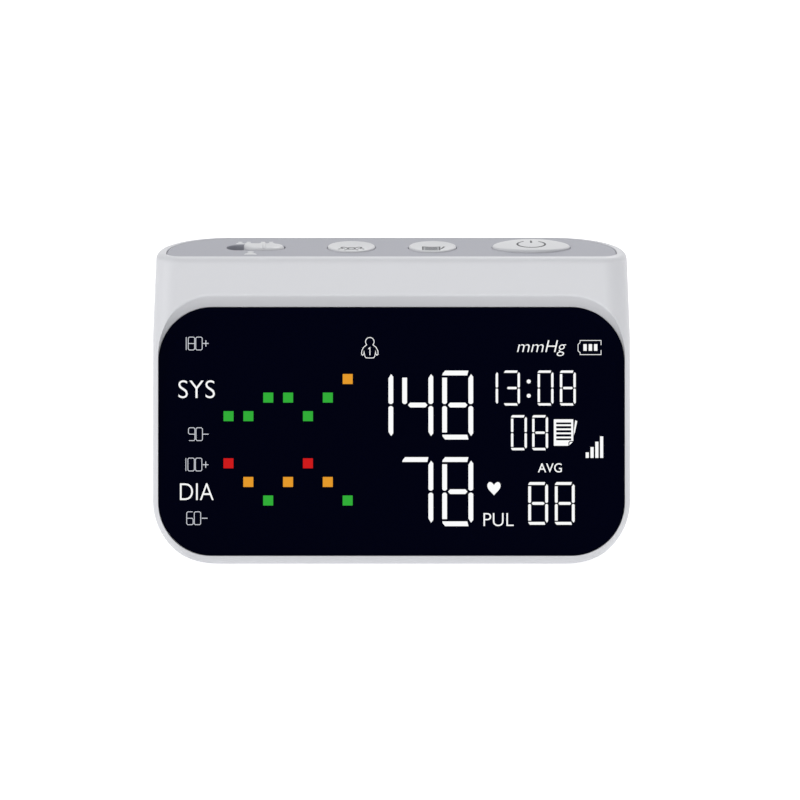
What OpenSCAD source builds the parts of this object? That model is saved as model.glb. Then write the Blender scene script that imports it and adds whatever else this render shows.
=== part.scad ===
// Upper arm blood pressure monitor: a wedge housing with a tilted display window,
// three press buttons and a slide switch on top, and a battery door at the back.
// Front faces -Y, right is +X, up is +Z. The origin is under the middle of the base.

/* [Housing] */
// Width over both sides
body_w = 130; // [126:1:146]
// Height of the housing, from the table to its top face
body_h = 82.5; // [81:0.5:92]
// Depth over the base, front to back
base_d = 44.5; // [44:0.5:54]
// Depth of the top face, front to back
top_d = 26.4; // [26:0.2:31]
// Thickness of the moulded walls
wall = 2.2; // [1.8:0.1:2.4]
// Radius of the lower corners, seen from the front
low_corner_r = 16.5; // [14:0.5:18]
// Radius of the rear corners, seen from above
back_corner_r = 19.5; // [15:0.5:20]
// Radius of the front corners at the top, seen from above
front_corner_r = 7; // [5:0.5:8]
// How far the front corners sharpen from the top down to the base
front_corner_run = 4; // [3:0.5:5]
// Radius of the edge round the top face
edge_r = 1.8; // [1:0.1:2]
// Radius of the edge round the base
base_edge_r = 2.5; // [1.5:0.1:3]
// How far each side leans in at the top
side_draft = 0.9; // [0.5:0.1:1.2]
// Height where the sides start to lean in
shoulder_h = 60; // [50:1:66]
// Depth of the rear housing, from the seam to the back
rear_d = 12.25; // [12:0.25:13]
// Height of the band above the rear housing
top_band = 6; // [5:0.5:7]
// Open line between the two housings
seam_gap = 0.2; // [0.1:0.05:0.3]
// How far the locating lip reaches over the seam
lip_d = 1.8; // [1:0.1:2.4]
// Thickness of the locating lip
lip_t = 1; // [0.8:0.1:1.2]

/* [Display window] */
// Width of the white rim beside the window
bezel_w = 1.7; // [1.5:0.1:2.5]
// Distance from the base edge to the window, along the front
window_up = 3; // [2.8:0.1:4]
// Height of the plain front above the window
brow_h = 13.4; // [13:0.1:15]
// Corner radius of the window
window_r = 14.5; // [12:0.5:16]
// Thickness of the window
window_t = 1.6; // [1.2:0.1:1.8]
// Depth of the window under the rim at its lower edge
window_sink = 0.15; // [0.1:0.05:0.3]
// Depth of the recess at the window's upper edge
recess_d = 4.4; // [3.5:0.1:4.8]
// Height of the sloping wall above the window
recess_rise = 3.2; // [2.5:0.1:3.6]
// Gap all round the window
window_gap = 0.15; // [0.1:0.05:0.25]
// Width of the ledge that the window is bonded to
ledge_w = 2.5; // [2:0.1:3]
// Thickness of that ledge
ledge_t = 1.4; // [1.2:0.1:1.6]
// Distance from the window's sides to the display panel
panel_side = 4.8; // [4:0.1:12]
// Distance from the window's ends to the display panel
panel_end = 5.3; // [4.5:0.1:8]
// Corner radius of the display panel
panel_r = 4; // [4:0.5:8]
// Thickness of the display panel
panel_t = 3; // [2.4:0.1:3.2]
// Thickness of the display frame behind the panel
frame_t = 1.5; // [1.2:0.1:1.8]
// Gap between the panel and its frame
panel_gap = 0.2; // [0.1:0.05:0.3]

/* [Top plate] */
// White rim beside the plate
plate_side = 2.8; // [2.2:0.1:4]
// White rim in front of the plate
plate_front = 1.9; // [1.5:0.1:2.5]
// White rim behind the plate
plate_back = 2; // [1.5:0.1:2.5]
// Radius of the plate's rear corners
plate_back_r = 17; // [12:0.5:17.5]
// Radius of the plate's front corners
plate_front_r = 4; // [3:0.5:6]
// Thickness of the plate
plate_t = 1.5; // [1.2:0.1:1.8]
// Depth of the plate under the rim
plate_sink = 0.15; // [0.05:0.05:0.3]
// Thickness of the deck that the plate lies on
deck_t = 1.5; // [1.2:0.1:1.8]
// Gap all round the plate
plate_gap = 0.15; // [0.1:0.05:0.25]

/* [Buttons] */
// Diameter of the user and memory buttons
round_d = 13; // [11:0.5:14]
// Place of the user button, left of the middle
user_x = 11; // [10:0.5:13]
// Place of the memory button, right of the middle
memory_x = 11.2; // [10:0.5:13]
// Depth of the dish in a round button
dish_d = 0.55; // [0.3:0.05:0.7]
// Length of the oval power button
power_l = 21.3; // [18:0.1:22]
// Width of the oval power button
power_w = 13.6; // [11:0.1:14]
// Place of the power button, right of the middle
power_x = 38.2; // [37:0.2:40]
// Rise of the power button's dome
dome_h = 0.8; // [0.5:0.1:1.2]
// How far a button stands over the plate
button_proud = 0.45; // [0.3:0.05:0.8]
// Travel of a button when it is pressed
press_travel = 0.6; // [0.4:0.1:0.8]
// Gap round a button in its hole
button_gap = 0.25; // [0.2:0.05:0.35]
// Width of the flange that keeps a button in
flange_w = 1; // [0.8:0.1:1.2]
// Thickness of that flange
flange_t = 1; // [0.8:0.1:1.2]
// Diameter of the stem under a button
stem_d = 3.6; // [3:0.1:4]
// Length of the stem under its flange
stem_l = 1.8; // [1.4:0.1:2.2]

/* [Slide switch] */
// Length of the slot in the plate
slot_l = 16.1; // [15:0.1:17]
// Width of the slot in the plate
slot_w = 7.1; // [6.5:0.1:7.5]
// Place of the slot, left of the middle
slot_x = 37.1; // [36:0.1:38]
// Length of the knob
knob_l = 11.1; // [10:0.1:11.5]
// How far the knob stands over the plate
knob_proud = 1.3; // [1:0.1:1.6]
// Gap between the knob and the slot
knob_gap = 0.3; // [0.25:0.05:0.4]
// Width of the ridge across the knob
ridge_w = 0.9; // [0.7:0.1:1.2]
// Width of the slide switch's lever
lever_w = 2; // [1.6:0.1:2.4]

/* [Boards] */
// Thickness of the circuit boards
board_t = 1.6; // [1:0.2:1.6]
// Width of the main board
board_w = 64; // [60:1:64]
// Width of the main board's wing for the sensor
wing_w = 8; // [7.5:0.5:8.5]
// Height of that wing
wing_h = 10; // [9:0.5:11]
// Gap between the display frame and the main board
board_lift = 0.8; // [0.6:0.1:1]
// Width of the button board
key_board_w = 92; // [90:1:92]
// Depth of the button board
key_board_d = 15; // [14:0.5:15.5]
// Side of a push switch's square body
tact_w = 6; // [5:0.5:6.5]
// Height of a push switch's body
tact_h = 3.5; // [3:0.1:3.8]
// Height of a push switch's plunger
plunger_h = 1; // [0.8:0.1:1.2]

/* [Batteries] */
// Diameter of a battery
cell_d = 14.5; // [14:0.1:14.5]
// Length of a battery
cell_l = 50.5; // [50:0.5:51]
// Spacing of the batteries
cell_pitch = 14.9; // [14.7:0.1:15]
// Room for the contacts at both ends together
contact_room = 2.6; // [2.4:0.1:3]
// Thickness of the battery bay's walls
bay_wall = 1.2; // [1:0.1:1.3]
// Height of the bay's floor over the table
bay_up = 6; // [5.5:0.25:6.5]
// Thickness of the battery door
door_t = 1.8; // [1.5:0.1:2]
// Gap round the battery door
door_gap = 0.3; // [0.25:0.05:0.4]
// How far the door overlaps the bay's floor and roof
door_lap = 2; // [1.6:0.1:2.2]
// Width of a door hook
hook_w = 5; // [4:0.5:5.5]
// Width of the door latch
latch_w = 14; // [12:0.5:16]

/* [Air system] */
// Diameter of the pump's motor
motor_d = 20.4; // [19:0.2:20.6]
// Length of the motor
motor_l = 25; // [23:0.5:26]
// Diameter of the pump's head
head_d = 22; // [21:0.2:22.2]
// Length of the pump's head
head_l = 15.5; // [14:0.5:16]
// Thickness of the rubber cup round the motor
cushion_t = 1.1; // [0.8:0.1:1.2]
// Height of that cup
cushion_h = 22; // [18:0.5:24]
// Place of the pump, left of the middle
pump_x = 31; // [30.5:0.5:32]
// Radius of the socket that takes the cuff hose's plug
socket_bore_r = 2.8; // [2.4:0.1:3]
// Depth of that socket
socket_depth = 9.5; // [8:0.5:10.5]
// Outer radius of the socket's barrel
socket_r = 4.5; // [4.2:0.1:5]
// Height of the socket over the table
socket_z = 30; // [28:0.5:32]
// Outer radius of the air tubes
tube_r = 2.4; // [2.2:0.1:2.6]
// Radius of the nozzles in them
nozzle_r = 1.5; // [1.3:0.1:1.6]

/* [Feet and screws] */
// Radius of a rubber foot
foot_r = 4.5; // [4:0.5:5.5]
// How far a foot stands under the base
foot_proud = 0.6; // [0.4:0.1:1]
// Depth of the pocket that holds a foot
foot_sink = 1; // [0.8:0.1:1.2]
// Distance of the feet from the sides
foot_side = 21.5; // [21:0.5:24]
// Radius of a housing screw's shank
screw_r = 1.45; // [1.3:0.05:1.5]
// Radius of a housing screw's head
screw_head_r = 2.7; // [2.4:0.1:2.8]
// Radius of a screw boss
boss_r = 3.4; // [3.2:0.1:3.6]
// Distance of the screw bosses from the sides
boss_side = 13; // [12.5:0.25:13]

/* [Hidden] */
$fn = 64;

// Colours, as the eye sees them
white_plastic = [0.86, 0.865, 0.88];
grey_plate = [0.66, 0.665, 0.7];
button_white = [0.87, 0.87, 0.88];
window_black = [0.01, 0.01, 0.05];
board_green = [0.1, 0.35, 0.18];
chip_black = [0.08, 0.08, 0.09];
steel = [0.72, 0.73, 0.75];
rubber_grey = [0.3, 0.3, 0.31];
tube_clear = [0.85, 0.86, 0.84];

// A hair of overlap, so that two faces that would coincide cut cleanly
skin = 0.02;
// Play between parts that are pressed or dropped into place
snug = 0.1;
// Air between inner parts that don't touch
play = 0.35;
// Far enough to pass right through the housing
far = 2 * body_w;

// The wedge: its base line, its lean and the places of its corners
shell_h = body_h - foot_proud;
front_lean = atan((base_d - top_d) / shell_h);
nose = base_edge_r * (tan(front_lean) + 1 / cos(front_lean) - 1);
front_y = -base_d / 2 - nose;
back_y = base_d / 2;
top_front_y = front_y + shell_h * tan(front_lean);
front_len = shell_h / cos(front_lean);
seam_y = back_y - rear_d;
band_z = body_h - top_band;

side_points = [[front_y, foot_proud], [top_front_y, body_h], [back_y, body_h],
               [back_y, foot_proud]];
side_radii = [base_edge_r, edge_r, edge_r, base_edge_r];
outline_points = [[-body_w / 2, foot_proud], [-body_w / 2, shoulder_h],
                  [-body_w / 2 + side_draft, body_h], [body_w / 2 - side_draft, body_h],
                  [body_w / 2, shoulder_h], [body_w / 2, foot_proud]];
outline_radii = [low_corner_r, 0, edge_r, edge_r, 0, low_corner_r];
plan_points = [[-body_w / 2, -far], [-body_w / 2, back_y], [body_w / 2, back_y],
               [body_w / 2, -far]];
plan_radii = [0, back_corner_r, back_corner_r, 0];
nose_points = [[-body_w / 2, far], [-body_w / 2, 0], [body_w / 2, 0], [body_w / 2, far]];
nose_radii = [0, front_corner_r, front_corner_r, 0];

// The window: its size, its own tilt and the depths of what lies behind it
window_w = body_w - 2 * bezel_w;
window_h = front_len - window_up - brow_h;
panel_w = window_w - 2 * panel_side;
panel_h = window_h - 2 * panel_end;
window_tilt = asin((recess_d - window_sink) / window_h);
window_lean = front_lean + window_tilt;
window_y0 = front_y + window_up * sin(front_lean) + window_sink * cos(front_lean);
window_z0 = foot_proud + window_up * cos(front_lean) - window_sink * sin(front_lean);
ledge_back = window_t + ledge_t;
panel_back = window_t + panel_t;
frame_back = panel_back + frame_t;
board_front = frame_back + board_lift;
ribbon_t = 0.3;
board_back = board_front + board_t;

// The display frame's outer size and its place over the window's lower edge
frame_play = 0.6;
frame_up = 1.8;
frame_w = body_w - 2 * (wall + frame_play);
frame_h = window_h - frame_up - 2 * frame_play;
frame_r = low_corner_r - wall - frame_play;
board_end = 4.5;

// Levels under the top face, from the plate down to the button board
plate_top = body_h - plate_sink;
plate_low = plate_top - plate_t;
deck_low = plate_low - deck_t;
plate_y0 = top_front_y + plate_front;
plate_y1 = back_y - plate_back;
button_y = (plate_y0 + plate_y1) / 2;
flange_top = deck_low - snug;
flange_low = flange_top - flange_t;
stem_low = flange_low - stem_l;
plunger_top = stem_low - press_travel - 2 * snug;
key_board_top = plunger_top - plunger_h - tact_h;
key_board_low = key_board_top - board_t;
key_board_y0 = button_y - key_board_d / 2;

// The slide switch: the knob rests at the right end of its slot
knob_w = slot_w - 2 * knob_gap;
knob_travel = slot_l - knob_l - 2 * knob_gap;
knob_x = -slot_x + slot_l / 2 - knob_gap - knob_l / 2;
lever_low = key_board_top + 1.4;
slide_body = [knob_travel + 7, 5.4, 3.2];

// Four batteries stand side by side behind the door, right of the middle
cell_count = 4;
boss_x = body_w / 2 - boss_side;
bay_w = cell_count * cell_pitch;
bay_x = boss_x - boss_r - 1.2 - bay_wall - bay_w / 2;
bay_z0 = bay_up;
bay_z1 = bay_up + cell_l + contact_room;
cell_y = back_y - door_t - 0.5 - cell_d / 2;
bay_y0 = cell_y - cell_d / 2 - 0.2;
door_z0 = bay_z0 + door_lap;
door_z1 = bay_z1 - door_lap;
door_w = bay_w - 1;

// Screws and feet
boss_low_z = bay_up + 8;
boss_high_z = key_board_low - 1.2;
screw_seat_y = seam_y + 2.5;
screw_len = 8;
foot_x = body_w / 2 - foot_side;
foot_front_y = front_y + base_edge_r + 3 + foot_r;
foot_back_y = back_y - base_edge_r - 0.4 - foot_r;
post_places = [[-21, button_y + 5], [0, button_y + 5], [22.8, button_y - 4]];
post_r = 2;

// The air system: pump upright at the left, one manifold above it
cushion_r = motor_d / 2 + cushion_t + 0.05;
pump_y = back_y - wall - cushion_r - 0.15;
motor_z0 = foot_proud + wall + 0.05 + cushion_t + 0.05;
head_z0 = motor_z0 + motor_l;
head_z1 = head_z0 + head_l;
manifold_y = 7;
manifold_z = head_z1 + 11;
manifold_r = 3.2;
manifold_x0 = -pump_x - 26;
manifold_x1 = -pump_x + 3.5;
nozzle_l = 3.6;
side_nozzle_l = 2.3;
sleeve_gap = 0.08;
socket_flange_r = socket_r + 1.2;
socket_y = behind_frame(socket_z) + (socket_flange_r + play) / cos(window_lean);
socket_face = -body_w / 2 + 0.2;
socket_end = socket_face + socket_depth + 3.4;
valve = [10, 9, 17];
valve_x = -pump_x - 19;
valve_y = manifold_y + 2.5;
valve_nozzle_x = valve_x + 2.5;
valve_z0 = socket_z - 9;
valve_seat_t = 1.4;

// The sensor's height over the board puts its nozzle on the manifold's axis
sensor_lz = (manifold_y - window_y0) * sin(window_lean) + (manifold_z - window_z0) * cos(window_lean);
sensor_ly = (manifold_y - window_y0) * cos(window_lean) - (manifold_z - window_z0) * sin(window_lean);
sensor_side = 7;
sensor_rim = 0.8;
board_x0 = bay_x - bay_w / 2 - bay_wall - 2.5;
wing_x0 = board_x0 - wing_w;
board_up = frame_up + board_end;
board_h = sensor_lz + sensor_side / 2 + sensor_rim - board_up;
sensor_x = board_x0 - 1.6;
key_ribbon_w = 12;
key_ribbon_x = board_x0 + board_w / 2 - 8;

// Chips by their corner and their sides, and the sounder's and the radio's places on the board
chips = [[12, 16, 10, 10], [30, 15, 6, 5], [42, 20, 5, 6], [14, 34, 5, 4]];
chip_t = 1;
buzzer_place = [6.5, 24.5];
buzzer_r = 4.5;
buzzer_hole_r = 0.8;
buzzer_t = 2.2;
radio_size = [12, 14];
radio_can = [10, 8.5];
radio_place = [22, 18];

// The power socket on the right side
port = [7.4, 3.2, 9];
port_z = socket_z + 12;
port_y = behind_frame(port_z + port[2] / 2) + port[1] / 2 + play;
port_face = body_w / 2 - 0.6;

// Where the back of the display frame stands at a height
function behind_frame(z) =
  window_y0 + (z - window_z0) * tan(window_lean) + frame_back / cos(window_lean);

// A point given on the window's face, by depth and by distance up the face, seen from the side
function side_view(y, z) = [window_y0 + y * cos(window_lean) + z * sin(window_lean),
                            window_z0 + z * cos(window_lean) - y * sin(window_lean)];

// Points and centres of a polygon's rounded corners
function unit(v) = v / norm(v);
function half_angle(p, a, b) = acos(unit(a - p) * unit(b - p)) / 2;
function corner_centre(p, a, b, r) =
  p + unit(unit(a - p) + unit(b - p)) * r / sin(half_angle(p, a, b));
function corner_ends(p, a, b, r) =
  [for (q = [a, b]) p + unit(q - p) * r / tan(half_angle(p, a, b))];
function moved_in(pts, d) = let (n = len(pts))
  [for (i = [0 : n - 1]) corner_centre(pts[i], pts[(i + n - 1) % n], pts[(i + 1) % n], d)];

// A convex outline with true arcs at its corners, moved inwards by inset
module soft_polygon(points, radii, inset = 0) {
  n = len(points);
  pts = inset == 0 ? points : moved_in(points, inset);
  rad = [for (r = radii) r > 0 ? max(r - inset, 0.3) : 0];
  difference() {
    polygon(pts);
    for (i = [0 : n - 1])
      if (rad[i] > 0) corner_waste(pts[i], pts[(i + n - 1) % n], pts[(i + 1) % n], rad[i]);
  }
}

// What a rounded corner loses: the kite round its tip, less the circle
module corner_waste(p, a, b, r) {
  centre = corner_centre(p, a, b, r);
  ends = corner_ends(p, a, b, r);
  difference() {
    polygon([centre, ends[0], p + (p - centre) * 0.3, ends[1]]);
    translate(centre) circle(r = r);
  }
}

// A rectangle with rounded corners, standing on the x axis
module soft_rect(w, h, r) {
  soft_polygon([[-w / 2, 0], [-w / 2, h], [w / 2, h], [w / 2, 0]], [r, r, r, r]);
}

// Two half circles joined by straight sides, centred
module stadium(l, w) {
  square([l - w, w], center = true);
  for (s = [-1, 1]) translate([s * (l - w) / 2, 0]) circle(d = w);
}

// An oval by its two axes
module oval(l, w, grow = 0) {
  sides = 48;
  polygon([for (i = [0 : sides - 1]) let (a = 360 * i / sides)
    [(l / 2 + grow) * cos(a), (w / 2 + grow) * sin(a)]]);
}

// Places its children on the leaning front: z runs up the face, y goes in
module on_front() {
  translate([0, front_y, foot_proud]) rotate([-front_lean, 0, 0]) children();
}

// Places its children on the window's face: z runs up the face, y goes in
module on_window() {
  translate([0, window_y0, window_z0]) rotate([-window_lean, 0, 0]) children();
}

// An upright slab on the front or the window, from depth y0 to depth y1
module slab(w, h, r, y0, y1, up = 0) {
  translate([0, y1, up]) rotate([90, 0, 0]) linear_extrude(y1 - y0) soft_rect(w, h, r);
}

// A box by its two opposite corners
module span(a, b) { translate(a) cube(b - a); }

// A round rod along the y or the x axis
module rod_y(x, z, r, y0, y1) { translate([x, y1, z]) rotate([90, 0, 0]) cylinder(r = r, h = y1 - y0); }
module rod_x(y, z, r, x0, x1) { translate([x0, y, z]) rotate([0, 90, 0]) cylinder(r = r, h = x1 - x0); }

// The outer form of both housings together, moved inwards by inset
module body_form(inset = 0) {
  intersection() {
    rotate([90, 0, 90]) translate([0, 0, -far / 2]) linear_extrude(far)
      soft_polygon(side_points, side_radii, inset);
    rotate([90, 0, 0]) translate([0, 0, -far / 2]) linear_extrude(far)
      soft_polygon(outline_points, outline_radii, inset);
    translate([0, 0, -skin]) linear_extrude(body_h + 1)
      soft_polygon(plan_points, plan_radii, inset - skin);
    on_front() translate([0, -front_corner_run, -far / 8])
      rotate([-atan(front_corner_run / front_len), 0, 0]) linear_extrude(far)
        soft_polygon(nose_points, nose_radii, inset - skin);
  }
}

// The hollow inside both housings, behind the window's ledge and under the deck
module cavity() {
  intersection() {
    body_form(wall);
    union() {
      on_window() span([-far, ledge_back, -far], [far, far, far]);
      on_front() span([-far, 0, window_up + window_h + recess_rise + wall], [far, far, far]);
    }
    span([-far, -far, -far], [far, far, deck_low]);
  }
}

// The space that the rear housing fills: all behind the seam and under the top band
module rear_zone(grow = 0) {
  span([-far, seam_y - grow, -far], [far, far, band_z + grow]);
}

// The sloping recess from the front face down to the window
module recess() {
  reach = 1;
  rise = recess_rise * (1 + reach / recess_d);
  hull() {
    on_window() slab(window_w, window_h, window_r, 0, window_t / 2);
    on_front() slab(window_w + 0.2, window_h + rise, window_r + 0.6, -2 * reach, -reach, window_up);
  }
}

// The pocket of the top plate, and the holes for what comes up through it
module plate_outline(inset = 0) {
  half = body_w / 2 - side_draft - plate_side;
  soft_polygon([[-half, plate_y0], [-half, plate_y1], [half, plate_y1], [half, plate_y0]],
               [plate_front_r, plate_back_r, plate_back_r, plate_front_r], inset);
}

module button_holes(z0, z1) {
  translate([0, 0, z0]) linear_extrude(z1 - z0) {
    for (x = [-user_x, memory_x]) translate([x, button_y]) circle(d = round_d + 2 * button_gap);
    translate([power_x, button_y]) oval(power_l, power_w, button_gap);
    translate([-slot_x, button_y]) stadium(slot_l, slot_w);
  }
}

// Front housing: front, sides, top and the front part of the base in one moulding
module front_housing() {
  color(white_plastic) difference() {
    union() {
      difference() {
        body_form();
        cavity();
        rear_zone(seam_gap);
      }
      intersection() {
        body_form(wall / 2);
        front_ribs();
      }
    }
    recess();
    on_window() {
      slab(window_w + 2 * window_gap, window_h + 2 * window_gap, window_r, 0, window_t, -window_gap);
      slab(window_w - 2 * ledge_w, window_h - 2 * ledge_w, window_r - ledge_w, 0,
           ledge_back + 1, ledge_w);
    }
    translate([0, 0, plate_low]) linear_extrude(body_h) plate_outline();
    button_holes(deck_low - 1, body_h);
    for (s = [-1, 1], z = [boss_low_z, boss_high_z])
      rod_y(s * boss_x, z, screw_r + 0.05, seam_y - screw_len + 2, seam_y + 1);
    for (p = post_places)
      translate([p[0], p[1], key_board_top - 1]) cylinder(r = 0.85, h = deck_low - key_board_top - 1);
    for (s = [-1, 1])
      translate([s * foot_x, foot_front_y, 0]) cylinder(r = foot_r + 0.1, h = foot_proud + foot_sink);
    rod_x(socket_y, socket_z, socket_r + 0.1, -body_w / 2 - 1, -body_w / 2 + wall + 1);
    translate([body_w / 2 - wall - 1, port_y, port_z]) rotate([0, 90, 0])
      linear_extrude(wall + 2) stadium(port[2] + 0.5, port[1] + 0.5);
  }
}

// Bosses for the housing screws, posts for the button board, ribs for the power socket
module front_ribs() {
  for (s = [-1, 1]) {
    low_y = behind_frame(boss_low_z) + 1.5;
    high_y = seam_y - 6.2;
    rod_y(s * boss_x, boss_low_z, boss_r, low_y, seam_y - seam_gap);
    rod_y(s * boss_x, boss_high_z, boss_r, high_y, seam_y - seam_gap);
    span([s * boss_x - 0.8, low_y, 0], [s * boss_x + 0.8, seam_y - seam_gap, boss_low_z]);
    span([s * boss_x - 0.8, high_y, boss_high_z], [s * boss_x + 0.8, seam_y - seam_gap, body_h]);
  }
  for (p = post_places)
    translate([p[0], p[1], key_board_top]) cylinder(r = post_r, h = deck_low + deck_t / 2 - key_board_top);
  for (z = [port_z - port[2] / 2 - 3.6, port_z + port[2] / 2 + 2.2])
    span([body_w / 2 - 15, port_y + port[1] / 2 - 2, z],
         [body_w / 2, port_y + port[1] / 2 + board_t + 1.6, z + 1.4]);
}

// Rear housing: back, rear part of the base, battery bay and seats for the air parts
module rear_housing() {
  color(white_plastic) difference() {
    union() {
      intersection() {
        difference() {
          body_form();
          cavity();
        }
        rear_zone();
      }
      locating_lip();
      intersection() {
        body_form(wall / 2);
        rear_ribs();
      }
    }
    span([bay_x - bay_w / 2, bay_y0, bay_z0], [bay_x + bay_w / 2, back_y - wall, bay_z1]);
    span([bay_x - door_w / 2 - door_gap, back_y - wall - 1, door_z0 - door_gap],
         [bay_x + door_w / 2 + door_gap, back_y + 1, door_z1 + door_gap]);
    span([bay_x - latch_w / 2 - door_gap, back_y - wall - 1, door_z1 - 1],
         [bay_x + latch_w / 2 + door_gap, back_y + 1, door_z1 + door_lap]);
    for (s = [-1, 1], z = [boss_low_z, boss_high_z]) {
      rod_y(s * boss_x, z, screw_r + 0.25, seam_y - 3, back_y);
      rod_y(s * boss_x, z, screw_head_r + 0.4, screw_seat_y, back_y + 1);
    }
    for (s = [-1, 1])
      translate([s * foot_x, foot_back_y, 0]) cylinder(r = foot_r + 0.1, h = foot_proud + foot_sink);
    for (s = [-1, 1], z = [boss_low_z, boss_high_z]) front_boss_room(s * boss_x, z);
  }
}

// Lip that steps over the seam inside the front housing, rooted in the rear housing's wall
module locating_lip() {
  root = lip_d + 0.4;
  difference() {
    union() {
      intersection() {
        body_form(wall + snug);
        span([-far, seam_y - lip_d, -far], [far, seam_y + root, band_z - lip_d]);
      }
      intersection() {
        body_form(wall / 2);
        span([-far, seam_y, -far], [far, seam_y + root, band_z - lip_d]);
      }
    }
    body_form(wall + snug + lip_t);
    translate([-pump_x, pump_y, foot_proud + wall]) cylinder(r = cushion_r + 0.2, h = body_h);
  }
}

// Room in the locating lip for the front housing's bosses and their ribs
module front_boss_room(x, z) {
  rod_y(x, z, boss_r + 0.2, seam_y - lip_d - 1, seam_y);
  reach = z < body_h / 2 ? [0, z] : [z, body_h];
  span([x - 1, seam_y - lip_d - 1, reach[0]], [x + 1, seam_y, reach[1]]);
}

module rear_ribs() {
  span([bay_x - bay_w / 2 - bay_wall, bay_y0 - bay_wall, bay_z0 - bay_wall],
       [bay_x + bay_w / 2 + bay_wall, back_y, bay_z1 + bay_wall]);
  for (s = [-1, 1], z = [boss_low_z, boss_high_z]) rod_y(s * boss_x, z, boss_r, seam_y, back_y);
  difference() {
    for (z = [head_z0 - 9, head_z0 + 3])
      span([-pump_x - cushion_r - 1.5, pump_y + 2, z], [-pump_x + cushion_r + 1.5, back_y, z + 1.5]);
    translate([-pump_x, pump_y, 0]) cylinder(r = cushion_r + 0.2, h = body_h);
  }
  span([valve_x - valve[0] / 2 - 1.5, valve_y - valve[1] / 2, valve_z0 - valve_seat_t],
       [valve_x + valve[0] / 2 + 1.5, back_y, valve_z0]);
  for (s = [-1, 1])
    span([valve_x + s * (valve[0] / 2 + 0.8) - 0.6, valve_y - 1, valve_z0 - valve_seat_t],
         [valve_x + s * (valve[0] / 2 + 0.8) + 0.6, back_y, valve_z0 + 8]);
}

// Grey inlay in the top face, with the buttons and the slide knob coming up through it
module top_plate() {
  color(grey_plate) difference() {
    translate([0, 0, plate_low]) linear_extrude(plate_t) plate_outline(plate_gap);
    button_holes(plate_low - 1, body_h + 1);
  }
}

// Black window over the whole display, bonded into the front housing
module display_window() {
  color(window_black) on_window() slab(window_w, window_h, window_r, 0.01, window_t);
}

// The display panel behind the window: its glass, stepped over a thicker light guide
module display_panel() {
  color(chip_black) on_window() {
    slab(panel_w, panel_h, panel_r, window_t, window_t + 1.2, panel_end);
    slab(panel_w - 3, panel_h - 3, 1.5, window_t + 1, panel_back, panel_end + 1.5);
  }
}

// White tray that holds the panel against the window and carries the main board
module display_frame() {
  color(white_plastic) on_window() {
    difference() {
      slab(frame_w, frame_h, frame_r, ledge_back, frame_back, frame_up);
      slab(panel_w + 2 * panel_gap, panel_h + 2 * panel_gap, panel_r, ledge_back - 1, panel_back,
           panel_end - panel_gap);
      ribbon_slot(0.8);
      for (p = board_screw_places()) rod_y(p[0], p[1], 0.85, frame_back - 1, board_front);
    }
    for (p = board_screw_places())
      difference() {
        rod_y(p[0], p[1], 2.6, frame_back - skin, board_front);
        rod_y(p[0], p[1], 0.85, frame_back - 1, board_front + 1);
      }
  }
}

// The slot in the frame that the display ribbon passes through
module ribbon_slot(room) {
  ribbon_w = 26;
  x = board_x0 + board_w / 2;
  z = panel_end + 1.5;
  span([x - ribbon_w / 2 - room, panel_back - 1, z - room],
       [x + ribbon_w / 2 + room, board_front, z + ribbon_t + room]);
}

function board_screw_places() = [for (x = [board_x0 + 4, board_x0 + board_w - 4],
                                      z = [board_up + 8, board_up + board_h - 5]) [x, z]];

// Main board, with a wing at the upper left that carries the pressure sensor
module main_board() {
  color(board_green) on_window() difference() {
    union() {
      span([board_x0, board_front, board_up], [board_x0 + board_w, board_back, board_up + board_h]);
      span([wing_x0, board_front, board_up + board_h - wing_h],
           [board_x0 + 1, board_back, board_up + board_h]);
    }
    for (p = board_screw_places()) rod_y(p[0], p[1], 1.1, board_front - 1, board_back + 1);
  }
}

// Processor, memory and power chips on the back of the main board
module board_chips() {
  color(chip_black) on_window() {
    for (c = chips)
      span([board_x0 + c[0], board_back, board_up + c[1]],
           [board_x0 + c[0] + c[2], board_back + chip_t, board_up + c[1] + c[3]]);
  }
}

// Small board with a shielded radio, soldered to the main board near its top edge
module radio_module() {
  color(steel) on_window() {
    x = board_x0 + board_w - radio_place[0];
    z = board_up + board_h - radio_place[1];
    span([x, board_back, z], [x + radio_size[0], board_back + 0.5, z + radio_size[1]]);
    span([x + 1, board_back + 0.4, z + 1], [x + 1 + radio_can[0], board_back + 1.2, z + 1 + radio_can[1]]);
  }
}

// Sounder at the main board's lower corner
module buzzer() {
  x = board_x0 + buzzer_place[0];
  z = board_up + buzzer_place[1];
  color(chip_black) on_window() difference() {
    rod_y(x, z, buzzer_r, board_back, board_back + buzzer_t);
    rod_y(x, z, buzzer_hole_r, board_back + buzzer_t / 2, board_back + 2 * buzzer_t);
  }
}

// Pressure sensor, with its nozzle in line with the air manifold
module pressure_sensor() {
  color([0.9, 0.9, 0.88]) {
    on_window() span([sensor_x - sensor_side / 2, board_back, sensor_lz - sensor_side / 2],
                     [sensor_x + sensor_side / 2, sensor_ly + 2.4, sensor_lz + sensor_side / 2]);
    rod_x(manifold_y, manifold_z, nozzle_r, sensor_x - sensor_side / 2 - side_nozzle_l, sensor_x - 1);
  }
}

// Narrow board under the deck that carries the three push switches and the slide switch
module button_board() {
  color(board_green) difference() {
    span([-key_board_w / 2, key_board_y0, key_board_low],
         [key_board_w / 2, key_board_y0 + key_board_d, key_board_top]);
    for (p = post_places) translate([p[0], p[1], key_board_low - 1]) cylinder(r = 1.1, h = board_t + 2);
  }
}

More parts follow.
